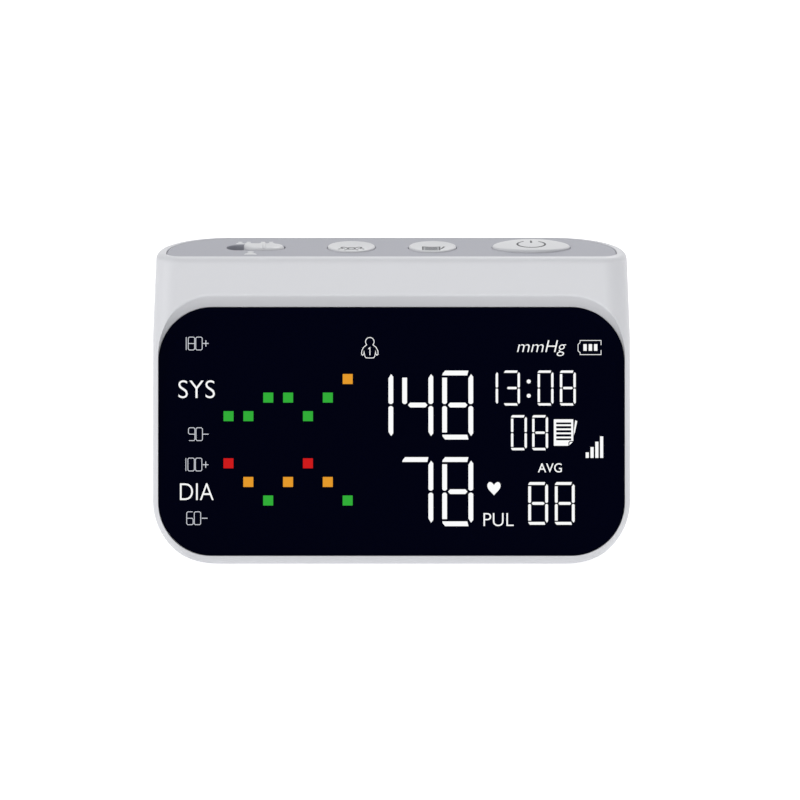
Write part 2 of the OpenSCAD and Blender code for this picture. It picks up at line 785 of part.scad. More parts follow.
// Push switches: a square body, a steel cover and a round plunger each
module push_switches() {
  color(chip_black) for (x = [-user_x, memory_x, power_x]) translate([x, button_y, key_board_top]) {
    translate([-tact_w / 2, -tact_w / 2, 0]) cube([tact_w, tact_w, tact_h]);
    cylinder(d = 3.4, h = tact_h + plunger_h);
  }
}

// Slide switch body, with a slot along the lever's way
module slide_switch() {
  x0 = knob_x - knob_travel - lever_w / 2 - 2.4;
  color(steel) difference() {
    span([x0, button_y - slide_body[1] / 2, key_board_top],
         [x0 + slide_body[0], button_y + slide_body[1] / 2, key_board_top + slide_body[2]]);
    span([knob_x - knob_travel - lever_w / 2 - 0.4, button_y - lever_w / 2 - 0.3, lever_low - 0.3],
         [knob_x + lever_w / 2 + 0.4, button_y + lever_w / 2 + 0.3, body_h]);
  }
}

// Lever of the slide switch, which the knob's fork carries along
module switch_lever() {
  color(chip_black) span([knob_x - lever_w / 2, button_y - lever_w / 2, lever_low],
                         [knob_x + lever_w / 2, button_y + lever_w / 2, flange_low + 0.5]);
}

// Slide knob: a pill with a crowned top and a ridge, over a skirt that covers the slot
module switch_knob() {
  top = plate_top + knob_proud;
  crown_r = 9;
  skirt_l = slot_l + knob_travel + 2.4;
  color(button_white) difference() {
    union() {
      intersection() {
        translate([knob_x, button_y, flange_top - 0.5]) linear_extrude(top - flange_top + 1)
          stadium(knob_l, knob_w);
        rod_x(button_y, top - crown_r, crown_r, knob_x - knob_l, knob_x + knob_l);
      }
      intersection() {
        span([knob_x - ridge_w / 2, button_y - knob_w / 2 + 0.4, flange_top],
             [knob_x + ridge_w / 2, button_y + knob_w / 2 - 0.4, top + 1]);
        rod_x(button_y, top - crown_r, crown_r + 0.35, knob_x - knob_l, knob_x + knob_l);
      }
      translate([knob_x - skirt_l / 2 + (slot_l - knob_l) / 4, button_y - slot_w / 2 - 0.9, flange_low])
        cube([skirt_l - (slot_l - knob_l) / 4, slot_w + 1.8, flange_t]);
    }
    span([knob_x - lever_w / 2 - skin, button_y - lever_w / 2 - skin, flange_low - 1],
         [knob_x + lever_w / 2 + skin, button_y + lever_w / 2 + skin, flange_low + 0.6]);
  }
}

// A round button with a dished face, a flange under the deck and a stem over its switch
module round_button() {
  r = round_d / 2;
  top = plate_top + button_proud;
  lip = 0.5;
  dish_r = ((r - lip) * (r - lip) + dish_d * dish_d) / (2 * dish_d);
  difference() {
    rotate_extrude() {
      translate([0, flange_low]) square([r + flange_w, flange_t]);
      translate([0, flange_low]) square([r, top - flange_low - 0.4]);
      translate([0, flange_low]) square([r - 0.4, top - flange_low]);
      translate([r - 0.4, top - 0.4]) circle(r = 0.4);
      translate([0, stem_low]) square([stem_d / 2, stem_l + flange_t]);
    }
    translate([0, 0, top - dish_d + dish_r]) sphere(r = dish_r, $fn = 240);
    translate([0, 0, flange_low - skin]) difference() {
      cylinder(r = r - 1.2, h = top - flange_low - dish_d - 1.2);
      cylinder(d = stem_d + 2, h = top);
    }
  }
}

module user_button() { color(button_white) translate([-user_x, button_y, 0]) round_button(); }
module memory_button() { color(button_white) translate([memory_x, button_y, 0]) round_button(); }

// Oval power button with a domed face
module power_button() {
  rim = plate_top + button_proud;
  dome_r = (power_l * power_l / 4 + dome_h * dome_h) / (2 * dome_h);
  color(button_white) translate([power_x, button_y, 0]) {
    difference() {
      intersection() {
        translate([0, 0, flange_low]) linear_extrude(rim + dome_h + 1 - flange_low) oval(power_l, power_w);
        translate([0, 0, rim + dome_h - dome_r]) sphere(r = dome_r, $fn = 240);
      }
      translate([0, 0, flange_low - skin]) linear_extrude(rim - 1.2 - flange_low)
        oval(power_l - 2.6, power_w - 2.6);
    }
    difference() {
      translate([0, 0, flange_low]) linear_extrude(flange_t) oval(power_l, power_w, flange_w);
      translate([0, 0, flange_low - 1]) linear_extrude(flange_t + 2) oval(power_l - 2.6, power_w - 2.6);
    }
    translate([0, 0, stem_low]) cylinder(d = stem_d, h = rim - stem_low - 1);
  }
}

// Pump motor: a steel can with a bearing boss and two terminals at its lower end
module pump_motor() {
  color(steel) translate([-pump_x, pump_y, motor_z0]) {
    difference() {
      rotate_extrude() soft_polygon([[0, 0], [0, motor_l], [motor_d / 2, motor_l], [motor_d / 2, 0]],
                                    [0, 0, 0.3, 1.2]);
      for (s = [-1, 1]) translate([s * motor_d / 2 * 0.62, -1, -1]) cube([0.6, 2, 3]);
    }
  }
}

// Pump head: its three clamped layers and the outlet nozzle
module pump_head() {
  color([0.16, 0.16, 0.17]) {
    translate([-pump_x, pump_y, 0]) {
      layer = head_l / 3;
      translate([0, 0, head_z0 + 1]) cylinder(d = head_d - 1.2, h = head_l - 2);
      for (i = [0, 2]) translate([0, 0, head_z0 + i * layer]) cylinder(d = head_d, h = layer);
    }
    difference() {
      translate([-pump_x, manifold_y, head_z1 - 1]) cylinder(r = nozzle_r, h = 1 + nozzle_l);
      translate([-pump_x, manifold_y, head_z1 + 1]) cylinder(r = nozzle_r / 2, h = nozzle_l);
    }
  }
}

// Rubber cup that keeps the pump's shake out of the housing
module pump_cushion() {
  z0 = foot_proud + wall + 0.05;
  color(rubber_grey) translate([-pump_x, pump_y, z0]) difference() {
    cylinder(r = cushion_r, h = cushion_h);
    translate([0, 0, cushion_t]) cylinder(r = motor_d / 2 + 0.05, h = cushion_h);
    cylinder(r = 3, h = far, center = true);
  }
}

// Release valve: a steel yoke round a coil, with a nozzle on top
module release_valve() {
  z1 = valve_z0 + valve[2];
  color([0.35, 0.36, 0.4]) {
    translate([valve_x, valve_y, valve_z0 + 1]) cylinder(d = min(valve[0], valve[1]) - 0.6, h = valve[2] - 2);
    for (z = [valve_z0 + 0.05, z1 - 1.2])
      span([valve_x - valve[0] / 2, valve_y - valve[1] / 2, z],
           [valve_x + valve[0] / 2, valve_y + valve[1] / 2, z + 1.2]);
    span([valve_x - valve[0] / 2, valve_y - valve[1] / 2, valve_z0 + 0.05],
         [valve_x - valve[0] / 2 + 1, valve_y + valve[1] / 2, z1]);
    translate([valve_nozzle_x, manifold_y, z1 - 0.5]) cylinder(r = nozzle_r, h = nozzle_l + 0.5);
  }
}

// Manifold: one chamber along x with a nozzle for the socket, the valve, the pump and the sensor
module air_manifold() {
  hose = hose_line();
  color(chip_black) {
    rod_x(manifold_y, manifold_z, manifold_r, manifold_x0, manifold_x1);
    rod_x(manifold_y, manifold_z, nozzle_r, manifold_x1 - 1, manifold_x1 + side_nozzle_l);
    rod(hose[1], hose[1] - hose[2] * (manifold_r + nozzle_l), nozzle_r);
    for (x = [valve_nozzle_x, -pump_x])
      rod([x, manifold_y, manifold_z - manifold_r - nozzle_l], [x, manifold_y, manifold_z], nozzle_r);
  }
}

// Both ends of the line from the hose socket up to the manifold, and its direction
function hose_line() = let (a = [socket_end - nozzle_r - 0.6, socket_y, socket_z],
                            b = [manifold_x0 + 2.4, manifold_y, manifold_z]) [a, b, unit(b - a)];

// Socket for the cuff hose: a barrel through the left side, with a turned-up nozzle inside
module air_socket() {
  hose = hose_line();
  color([0.75, 0.76, 0.78]) difference() {
    union() {
      rod_x(socket_y, socket_z, socket_r, socket_face, socket_end);
      rod_x(socket_y, socket_z, socket_flange_r, -body_w / 2 + wall + snug / 2, -body_w / 2 + wall + 1.4);
      rod(hose[0], hose[0] + hose[2] * (socket_r + nozzle_l), nozzle_r);
    }
    rod_x(socket_y, socket_z, socket_bore_r, socket_face - 1, socket_face + socket_depth);
  }
}

// A round rod between two points, and a sleeve along the same line
module rod(a, b, r) {
  v = b - a;
  translate(a) rotate([0, acos(v[2] / norm(v)), atan2(v[1], v[0])]) cylinder(r = r, h = norm(v));
}

module sleeve(a, b) {
  u = unit(b - a);
  difference() {
    rod(a, b, tube_r);
    rod(a - u, b + u, nozzle_r + sleeve_gap);
  }
}

// Silicone tubes, each gripping a nozzle at both ends
module air_tubes() {
  hose = hose_line();
  for_valve = valve_z0 + valve[2] + 0.1;
  low = manifold_z - manifold_r - 0.1;
  color(tube_clear) {
    sleeve(hose[0] + hose[2] * (socket_r + 1), hose[1] - hose[2] * (manifold_r + 0.8));
    sleeve([valve_nozzle_x, manifold_y, for_valve], [valve_nozzle_x, manifold_y, low]);
    sleeve([-pump_x, manifold_y, head_z1 + 0.1], [-pump_x, manifold_y, low]);
    sleeve([manifold_x1 + 0.1, manifold_y, manifold_z],
           [sensor_x - sensor_side / 2 - 0.1, manifold_y, manifold_z]);
  }
}

// Batteries: a rounded can with a cap at the upper end, every second one turned over
module batteries() {
  color([0.55, 0.57, 0.6]) for (i = [0 : cell_count - 1])
    translate([bay_x + (i - (cell_count - 1) / 2) * cell_pitch, cell_y,
               bay_z0 + contact_room / 2 + (i % 2) * cell_l])
      rotate([(i % 2) * 180, 0, 0]) {
        can_l = cell_l - 1.2;
        rotate_extrude() soft_polygon([[0, 0], [0, can_l], [cell_d / 2, can_l], [cell_d / 2, 0]],
                                      [0, 0, 0.8, 0.8]);
        cylinder(d = 5.4, h = cell_l);
      }
}

// Coil springs at the flat ends of the batteries, as stacked rings
module battery_springs() {
  wire = 0.3;
  color(steel) for (i = [0 : cell_count - 1])
    translate([bay_x + (i - (cell_count - 1) / 2) * cell_pitch, cell_y,
               i % 2 == 0 ? bay_z0 + 0.3 : bay_z1 - contact_room / 2 + 0.05])
      difference() {
        cylinder(r = 3.4, h = contact_room / 2 - 0.35);
        translate([0, 0, -1]) cylinder(r = 3.4 - 2 * wire, h = contact_room);
      }
}

// Flat contact plates on the bay's floor and roof
module battery_contacts() {
  color(steel) for (i = [0 : cell_count - 1], top = [0, 1])
    translate([bay_x + (i - (cell_count - 1) / 2) * cell_pitch, cell_y, 0]) {
      z = top == 0 ? bay_z0 : bay_z1 - 0.3;
      span([-4.5, -5, z], [4.5, 4.2, z + 0.3]);
    }
}

// Battery door: a flush plate with a latch at the top, hooks at the bottom and finger ribs
module battery_door() {
  hook_room = 0.35;
  color(white_plastic) {
    difference() {
      span([bay_x - door_w / 2, back_y - door_t, door_z0], [bay_x + door_w / 2, back_y, door_z1]);
      for (i = [0 : 4])
        rod_x(back_y + 0.75, door_z1 - 6 - 2 * i, 1.1, bay_x - latch_w / 2, bay_x + latch_w / 2);
      for (s = [-1, 1])
        span([bay_x + s * (latch_w / 2 + 0.8) - 0.4, back_y - far, door_z1 - 12],
             [bay_x + s * (latch_w / 2 + 0.8) + 0.4, back_y + 1, door_z1 + 1]);
    }
    span([bay_x - latch_w / 2, back_y - door_t, door_z1 - skin],
         [bay_x + latch_w / 2, back_y - 0.4, door_z1 + door_lap - door_gap]);
    for (i = [-1, 1])
      translate([bay_x + i * cell_pitch, 0, 0]) {
        span([-hook_w / 2, back_y - wall - hook_room - 1.1, door_z0 - door_lap + 0.4],
             [hook_w / 2, back_y - wall - hook_room, door_z0 + 1.2]);
        span([-hook_w / 2, back_y - wall - hook_room - 1.1, door_z0 + 0.1],
             [hook_w / 2, back_y - door_t + skin, door_z0 + 1.2]);
      }
  }
}

// Power socket: a steel shell with a tongue inside its mouth
module power_socket() {
  color(steel) translate([port_face, port_y, port_z]) rotate([0, -90, 0]) {
    difference() {
      linear_extrude(port[0]) stadium(port[2], port[1]);
      translate([0, 0, -1]) linear_extrude(port[0] - 1) stadium(port[2] - 0.8, port[1] - 0.8);
    }
    translate([-3.1, -0.35, 0.6]) cube([6.2, 0.7, port[0] - 1.2]);
  }
}

// Small board that carries the power socket
module socket_board() {
  y0 = port_y + port[1] / 2;
  color(board_green) span([body_w / 2 - wall - 13, y0, port_z - port[2] / 2 - 2],
                          [body_w / 2 - wall - 0.4, y0 + board_t, port_z + port[2] / 2 + 2]);
}

// Ribbons: the display to the main board, and the button board down to the main board
module ribbon_cables() {
  drop = side_view(board_back, board_up + board_h);
  tail = side_view(board_back, board_up + board_h - 4);
  out = ribbon_t * [cos(window_lean), -sin(window_lean)];
  fold = (ribbon_t - out[0]) / tan(window_lean);
  color([0.75, 0.6, 0.3]) {
    on_window() intersection() {
      ribbon_slot(0);
      span([-far, panel_back, -far], [far, board_front, far]);
    }
    translate([key_ribbon_x, 0, 0]) rotate([90, 0, 90]) linear_extrude(key_ribbon_w)
      polygon([tail, drop, [drop[0], key_board_low], [drop[0] + ribbon_t, key_board_low],
               [drop[0] + ribbon_t, drop[1] + out[1] + fold], tail + out]);
  }
}

// Rubber feet, each in its pocket under the base
module rubber_feet() {
  color(rubber_grey) for (x = [-foot_x, foot_x], y = [foot_front_y, foot_back_y])
    translate([x, y, 0]) rotate_extrude()
      soft_polygon([[0, 0], [0, foot_proud + foot_sink], [foot_r, foot_proud + foot_sink], [foot_r, 0]],
                   [0, 0, 0, 0.35]);
}

// Housing screws, driven from behind into the front housing's bosses
module housing_screws() {
  color(steel) for (s = [-1, 1], z = [boss_low_z, boss_high_z]) difference() {
    union() {
      rod_y(s * boss_x, z, screw_r, screw_seat_y - screw_len, screw_seat_y + 1);
      rod_y(s * boss_x, z, screw_head_r, screw_seat_y, screw_seat_y + 2);
    }
    for (a = [0, 90]) translate([s * boss_x, screw_seat_y + 2, z]) rotate([0, a, 0])
      cube([3, 2, 0.8], center = true);
  }
}

// Small screws of the main board and the button board
module board_screws() {
  head = 1.2;
  color(steel) {
    on_window() for (p = board_screw_places()) {
      rod_y(p[0], p[1], 1.8, board_back, board_back + head);
      rod_y(p[0], p[1], 0.8, frame_back - 0.4, board_back + head / 2);
    }
    for (p = post_places) translate([p[0], p[1], 0]) {
      translate([0, 0, key_board_low - head]) cylinder(r = 1.8, h = head);
      translate([0, 0, key_board_low - head / 2]) cylinder(r = 0.8, h = board_t + head / 2 + 3);
    }
  }
}

front_housing();
rear_housing();
top_plate();
display_window();
display_panel();
display_frame();
main_board();
board_chips();
radio_module();
buzzer();
pressure_sensor();
button_board();
push_switches();
slide_switch();
switch_lever();
switch_knob();
user_button();
memory_button();
power_button();
pump_motor();
pump_head();
pump_cushion();
release_valve();
air_manifold();
air_socket();
air_tubes();
batteries();
battery_springs();
battery_contacts();
battery_door();
power_socket();
socket_board();
ribbon_cables();
rubber_feet();
housing_screws();
board_screws();
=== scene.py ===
from math import asin, atan, cos, pi, radians, sin, sqrt, tan

import bmesh
import bpy
from mathutils import Matrix, Vector


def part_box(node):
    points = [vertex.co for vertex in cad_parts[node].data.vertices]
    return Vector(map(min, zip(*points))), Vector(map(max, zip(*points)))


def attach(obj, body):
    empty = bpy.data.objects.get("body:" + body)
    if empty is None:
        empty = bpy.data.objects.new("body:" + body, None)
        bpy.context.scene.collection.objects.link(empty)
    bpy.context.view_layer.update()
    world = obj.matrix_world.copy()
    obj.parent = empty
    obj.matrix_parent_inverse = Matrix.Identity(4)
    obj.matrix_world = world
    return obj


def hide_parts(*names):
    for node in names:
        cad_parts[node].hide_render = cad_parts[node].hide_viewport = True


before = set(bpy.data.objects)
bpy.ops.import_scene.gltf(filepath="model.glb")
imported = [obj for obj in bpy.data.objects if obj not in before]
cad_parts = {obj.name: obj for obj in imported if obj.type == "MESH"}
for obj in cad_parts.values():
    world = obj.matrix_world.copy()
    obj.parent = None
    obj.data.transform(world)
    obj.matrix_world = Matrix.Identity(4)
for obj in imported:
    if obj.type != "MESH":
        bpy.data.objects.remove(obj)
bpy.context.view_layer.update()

# The studio: a camera and three soft boxes, which are square area lamps. The camera stands
# 14 degrees above the table behind a long lens, square to the front.
scene = bpy.context.scene
mm = 0.001
camera_rise = radians(14.16)
camera_far = 1400 * mm
camera_aim = Vector((2.31, -10, 44.0)) * mm

camera_data = bpy.data.cameras.new("camera")
camera_data.lens = 231.6
camera_data.sensor_width = 36
camera_data.clip_end = 20
camera = bpy.data.objects.new("camera", camera_data)
camera.location = camera_aim + camera_far * Vector((0, -cos(camera_rise), sin(camera_rise)))
camera.rotation_euler = (pi / 2 - camera_rise, 0, 0)
scene.collection.objects.link(camera)
scene.camera = camera
scene.view_settings.view_transform = "Standard"


def soft_box(name, place, size, power):
    """A square area lamp that faces the middle of the object."""
    data = bpy.data.lights.new(name, "AREA")
    data.size = size
    data.energy = power
    lamp = bpy.data.objects.new(name, data)
    lamp.location = place
    lamp.rotation_euler = (camera_aim - Vector(place)).to_track_quat("-Z", "Y").to_euler()
    scene.collection.objects.link(lamp)


soft_box("key_left", (-1.6, -0.6, 0.6), size=0.9, power=6.2)
soft_box("fill_front", (0.2, -1.5, 0.14), size=0.24, power=3.2)
soft_box("top_back", (0.35, 0.7, 1.3), size=0.8, power=9.0)

# The surround and the matt floor are white where they are seen, and weaker where they light the
# object, so that its pale plastic keeps its own tone and its shadow stays on the floor.


def add_node(tree, kind, inputs, **settings):
    """A new shader node, with each input given a value or joined to another node's output."""
    made = tree.nodes.new("ShaderNode" + kind)
    for name, value in settings.items():
        setattr(made, name, value)
    for name, value in inputs.items():
        if isinstance(value, bpy.types.NodeSocket):
            tree.links.new(value, made.inputs[name])
        else:
            made.inputs[name].default_value = value
    return made


def seen_directly(tree):
    """1 for camera, glossy and transmission rays, and 0 for the light that falls on the object."""
    rays = add_node(tree, "LightPath", {}).outputs
    seen = rays["Is Camera Ray"]
    for name in ("Is Glossy Ray", "Is Transmission Ray"):
        seen = add_node(tree, "Math", {0: seen, 1: rays[name]}, operation="MAXIMUM").outputs[0]
    return seen


def ranged(tree, value, low, high, socket):
    """Spreads a value from 0 to 1 over a range, into a socket."""
    level = add_node(tree, "MapRange", {"Value": value, "To Min": low, "To Max": high})
    tree.links.new(level.outputs["Result"], socket)


def piece(name, bm):
    """A mesh object at the origin, from a bmesh whose places are in the object's own frame."""
    data = bpy.data.meshes.new(name)
    bm.to_mesh(data)
    bm.free()
    made = bpy.data.objects.new(name, data)
    scene.collection.objects.link(made)
    return made


def coat(target, material):
    """Gives a piece its one material."""
    target.data.materials.clear()
    target.data.materials.append(material)


def paint(name, constants):
    """A new material with these values on its shader, and with it its node tree and its sockets."""
    material = bpy.data.materials.new(name)
    material.use_nodes = True
    skin = material.node_tree.nodes["Principled BSDF"].inputs
    for socket, value in constants.items():
        skin[socket].default_value = value
    return material, material.node_tree, skin


white = (1, 1, 1, 1)
surround = bpy.data.worlds.new("surround")
surround.use_nodes = True
scene.world = surround
background = surround.node_tree.nodes["Background"].inputs
background["Color"].default_value = white
ranged(surround.node_tree, seen_directly(surround.node_tree), 0.43, 1, background["Strength"])

floor_mesh = bmesh.new()
bmesh.ops.create_grid(floor_mesh, x_segments=1, y_segments=1, size=4)
floor = piece("floor", floor_mesh)
floor_paint, floor_tree, floor_skin = paint("floor_paint", {
    "Base Color": (0.9, 0.9, 0.9, 1), "Roughness": 0.9, "Emission Color": white})
ranged(floor_tree, seen_directly(floor_tree), 0.3, 0.62, floor_skin["Emission Strength"])
coat(floor, floor_paint)

# The body's form, which both housings share: a wedge of white ABS with a leaning front,
# wide rear corners, round lower corners and a soft edge round the top and the base.
body_lo, body_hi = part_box("front_housing")
body_w = body_hi.x - body_lo.x
base_z, top_z = body_lo.z, body_hi.z
front_edge_y, back_y = body_lo.y, body_hi.y
base_depth = back_y - front_edge_y
top_depth = 26.4 * mm
low_corner_r = 16.5 * mm
back_corner_r = 19.5 * mm
back_corner_low_r = 9 * mm
front_corner_r = 7 * mm
front_corner_low_r = 3 * mm
edge_r = 1.8 * mm
base_edge_r = 2.5 * mm
side_draft = 0.9 * mm
shoulder_z = 60 * mm
side_levels = [30 * mm, 45 * mm, shoulder_z, 70 * mm]
least_r = 0.3 * mm

lean = atan((base_depth - top_depth) / (top_z - base_z))
nose_y = front_edge_y - base_edge_r * (tan(lean) + 1 / cos(lean) - 1)


def front_line(z):
    """Where the leaning front plane stands at a height."""
    return nose_y + (z - base_z) * tan(lean)


def inset_at(r, over):
    """How far a rounded edge has drawn in, at a distance over its centre."""
    over = min(max(over, 0), r)
    return r - sqrt(r * r - over * over)


def plan_ring(z, inset):
    """The body's outline at one height as corner centres and radii, moved inwards by inset."""
    low_r, base_r, top_r = low_corner_r - inset, base_edge_r - inset, max(edge_r - inset, least_r)
    low_z, base_centre, top_centre = base_z + low_corner_r, base_z + base_edge_r, top_z - inset - top_r
    half = body_w / 2 - inset - side_draft * max(z - shoulder_z, 0) / (top_z - shoulder_z)
    half -= inset_at(low_r, low_z - z) + inset_at(top_r, z - top_centre)
    back = back_y - inset - inset_at(base_r, base_centre - z) - inset_at(top_r, z - top_centre)
    front = front_line(z) + inset / cos(lean)
    if z < base_centre + base_r * sin(lean):
        low_y = front_line(base_centre) + base_edge_r / cos(lean)
        front = low_y - sqrt(max(base_r ** 2 - (z - base_centre) ** 2, 0))
    if z > top_centre + top_r * sin(lean):
        high_y = front_line(top_centre) + (inset + top_r) / cos(lean)
        front = high_y - sqrt(max(top_r ** 2 - (z - top_centre) ** 2, 0))
    up = (z - base_z) / (top_z - base_z)
    turn = min(max((z - base_z) / low_corner_r, 0), 1)
    rear_r = back_corner_low_r + (back_corner_r - back_corner_low_r) * sqrt(1 - (1 - turn) ** 2)
    nose_r = front_corner_low_r + (front_corner_r - front_corner_low_r) * up
    shrink = inset + inset_at(top_r, z - top_centre)
    return half, front, back, max(nose_r - shrink, least_r), max(rear_r - shrink, least_r)


def ring_points(half, front, back, nose_r, rear_r):
    """Points round a ring, with the same count in each ring so that rings can be bridged."""
    corners = ((half - nose_r, front + nose_r, nose_r, -90, 8),
               (half - rear_r, back - rear_r, rear_r, 0, 20),
               (rear_r - half, back - rear_r, rear_r, 90, 20),
               (nose_r - half, front + nose_r, nose_r, 180, 8))
    for x, y, r, start, steps in corners:
        for step in range(steps + 1):
            a = radians(start + 90 * step / steps)
            yield x + r * cos(a), y + r * sin(a)


def add_ring(bm, points):
    """A closed loop of edges through the given points."""
    made = bmesh.ops.create_circle(bm, segments=len(points), radius=1)["verts"]
    for vert, point in zip(made, points):
        vert.co = point
    return list({edge for vert in made for edge in vert.link_edges})


def bridge(bm, rings):
    """Joins each ring to the next, and closes both ends."""
    for one, other in zip(rings, rings[1:]):
        bmesh.ops.bridge_loops(bm, edges=one + other)
    for ring in (rings[0], rings[-1]):
        bmesh.ops.contextual_create(bm, geom=ring)
    bmesh.ops.recalc_face_normals(bm, faces=bm.faces)


def body_levels(inset):
    """Heights of the rings: close together round the low corners and the top edge."""
    low_r, top_r = low_corner_r - inset, max(edge_r - inset, least_r)
    floor_z, top_centre = base_z + inset, top_z - inset - top_r
    low = [floor_z + low_r * (1 - cos(radians(6 * i))) for i in range(16)]
    return low + side_levels + [top_centre + top_r * sin(radians(15 * i)) for i in range(7)]


def layered(name, rings):
    """A solid through rings of points, each joined to the next."""
    bm = bmesh.new()
    bridge(bm, [add_ring(bm, ring) for ring in rings])
    return piece(name, bm)


def body_form(name, inset):
    """The body as one closed solid, moved inwards by inset."""
    return layered(name, [[(x, y, z) for x, y in ring_points(*plan_ring(z, inset))]
                          for z in body_levels(inset)])


# The front housing: front, sides, top and the front of the base are one white ABS moulding.
# A sloping recess leads down to the window, and the top face has a pocket for the inlay.


def cut(target, *tools, operation="DIFFERENCE"):
    """Cuts each tool from the target for good, and removes the tools."""
    for tool in tools:
        modifier = target.modifiers.new("cut", "BOOLEAN")
        modifier.object = tool
        modifier.operation = operation
        modifier.solver = "EXACT"
        bpy.context.view_layer.update()
        view = bpy.context.evaluated_depsgraph_get()
        data = bpy.data.meshes.new_from_object(target.evaluated_get(view))
        target.modifiers.clear()
        target.data = data
        bpy.data.objects.remove(tool)
    return target


def smooth(target, angle=35):
    """Smooth shading that keeps flat faces flat, and creases above the angle."""
    target.data.polygons.foreach_set("use_smooth", [True] * len(target.data.polygons))
    target.data.set_sharp_from_angle(angle=radians(angle))
    even = target.modifiers.new("even", "WEIGHTED_NORMAL")
    even.keep_sharp = True


def block(name, lo, hi):
    """A box by two opposite corners, as a cutting tool."""
    bm = bmesh.new()
    bmesh.ops.create_cube(bm, size=1)
    lo, hi = Vector(lo), Vector(hi)
    bmesh.ops.scale(bm, vec=hi - lo, verts=bm.verts)
    bmesh.ops.translate(bm, vec=(lo + hi) / 2, verts=bm.verts)
    return piece(name, bm)


def rounding(r, *angles):
    """Steps round a soft edge: what is left to its end, and how far the edge has turned in."""
    return [(r * (1 - sin(radians(a))), r * (1 - cos(radians(a)))) for a in angles or (30, 60, 90)]


def drawn(name, points_at, start, end, soft=0, beyond=0, axis=2):
    """An outline drawn along an axis. Its end is soft: a tool's mouth opens out there, and a part
    draws in where soft is negative."""
    way = 1 if end > start else -1
    steps = [(start, 0), (end - way * abs(soft), 0)]
    if soft:
        steps += [(end - way * abs(left), grow) for left, grow in rounding(soft)]
    if beyond:
        steps += [(end + way * beyond, soft)]
    return layered(name, [[(*point[:axis], depth, *point[axis:]) for point in points_at(grow)]
                          for depth, grow in steps])


def round_rect(x0, x1, y0, y1, radii, steps):
    """Points of a rectangle with its own radius at each corner, from the front right corner."""
    corners = ((x1, y0, -1, 1, -90), (x1, y1, -1, -1, 0), (x0, y1, 1, -1, 90), (x0, y0, 1, 1, 180))
    points = []
    for (x, y, sx, sy, start), r in zip(corners, radii):
        for step in range(steps + 1):
            a = radians(start + 90 * step / steps)
            points.append((x + sx * r + r * cos(a), y + sy * r + r * sin(a)))
    return points


def rod(name, start, end, r, steps=48):
    """A round bar between two points, as a cutting tool or a small part."""
    bm = bmesh.new()
    start, end = Vector(start), Vector(end)
    bmesh.ops.create_cone(bm, cap_ends=True, segments=steps, radius1=r, radius2=r,
                          depth=(end - start).length)
    turn = (end - start).to_track_quat("Z", "X").to_matrix().to_4x4()
    bmesh.ops.transform(bm, matrix=Matrix.Translation((start + end) / 2) @ turn, verts=bm.verts)
    return piece(name, bm)


def own_place(tree):
    """The piece's own coordinates."""
    return add_node(tree, "TexCoord", {}).outputs["Object"]


def cloud(tree, scale, detail=2):
    """Noise over the piece, from 0 to 1."""
    noise = add_node(tree, "TexNoise", {"Vector": own_place(tree), "Scale": scale, "Detail": detail})
    return noise.outputs["Fac"]


def shade(colour, share):
    """A colour made darker or lighter."""
    return [c * share for c in colour]


def tinted(tree, value, low, high, socket):
    """Mixes two colours by a value from 0 to 1, into a socket."""
    tone = add_node(tree, "Mix", {"Factor": value, "A": (*low, 1), "B": (*high, 1)}, data_type="RGBA")
    tree.links.new(tone.outputs["Result"], socket)


def embossed(tree, height, strength, depth, skin):
    """Fine relief on the surface."""
    relief = add_node(tree, "Bump", {"Height": height, "Strength": strength, "Distance": depth})
    tree.links.new(relief.outputs["Normal"], skin["Normal"])


def satin_plastic(name, colour, roughness, grain=0.25, bump=0.03):
    """Moulded plastic: a fine spark-eroded grain, and gloss and tone that vary a little."""
    material, tree, skin = paint(name, {})
    drift = cloud(tree, 18, 3)
    tinted(tree, drift, shade(colour, 0.985), colour, skin["Base Color"])
    ranged(tree, drift, roughness - 0.04, roughness + 0.04, skin["Roughness"])
    embossed(tree, cloud(tree, 1 / (grain * mm)), bump, 0.05 * mm, skin)
    return material


housing_white = satin_plastic("housing_white", (0.745, 0.752, 0.785), 0.42)
wall = 2.2 * mm
window_lo, window_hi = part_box("display_window")
window_w = window_hi.x - window_lo.x
window_up = 3 * mm
brow_h = 13.4 * mm
window_h = (top_z - base_z) / cos(lean) - window_up - brow_h
window_r = 14.5 * mm
window_t = 1.6 * mm
window_sink = 0.15 * mm
window_gap = 0.15 * mm
recess_d = 4.4 * mm
recess_rise = 3.2 * mm
ledge_w = 2.5 * mm
ledge_t = 1.4 * mm
lip_share = 0.12
lip_lift = 0.03 * mm
recess_high_r = window_r + 0.6 * mm
recess_clear = 6 * mm

window_lean = lean + asin((recess_d - window_sink) / window_h)
window_y0 = nose_y + window_up * sin(lean) + window_sink * cos(lean)
window_z0 = base_z + window_up * cos(lean) - window_sink * sin(lean)


def on_front(x, up, depth):
    """A point on the leaning front: up along the face, and in from it by depth."""
    return Vector((x, nose_y + up * sin(lean) + depth * cos(lean),
                   base_z + up * cos(lean) - depth * sin(lean)))


def on_window(x, up, depth):
    """A point on the window's own face, which leans back a little more than the front."""
    return Vector((x, window_y0 + up * sin(window_lean) + depth * cos(window_lean),
                   window_z0 + up * cos(window_lean) - depth * sin(window_lean)))


def window_outline(grow):
    """The window's rounded outline in its own plane, grown all round."""
    half, r = window_w / 2 + grow, max(window_r + grow, 1 * mm)
    return round_rect(-half, half, -grow, window_h + grow, (r,) * 4, 20)


def window_slab(name, depths):
    """The window's outline drawn through a row of depths, grown by its own amount at each."""
    return layered(name, [[on_window(x, up, depth) for x, up in window_outline(grow)]
                          for depth, grow in depths])


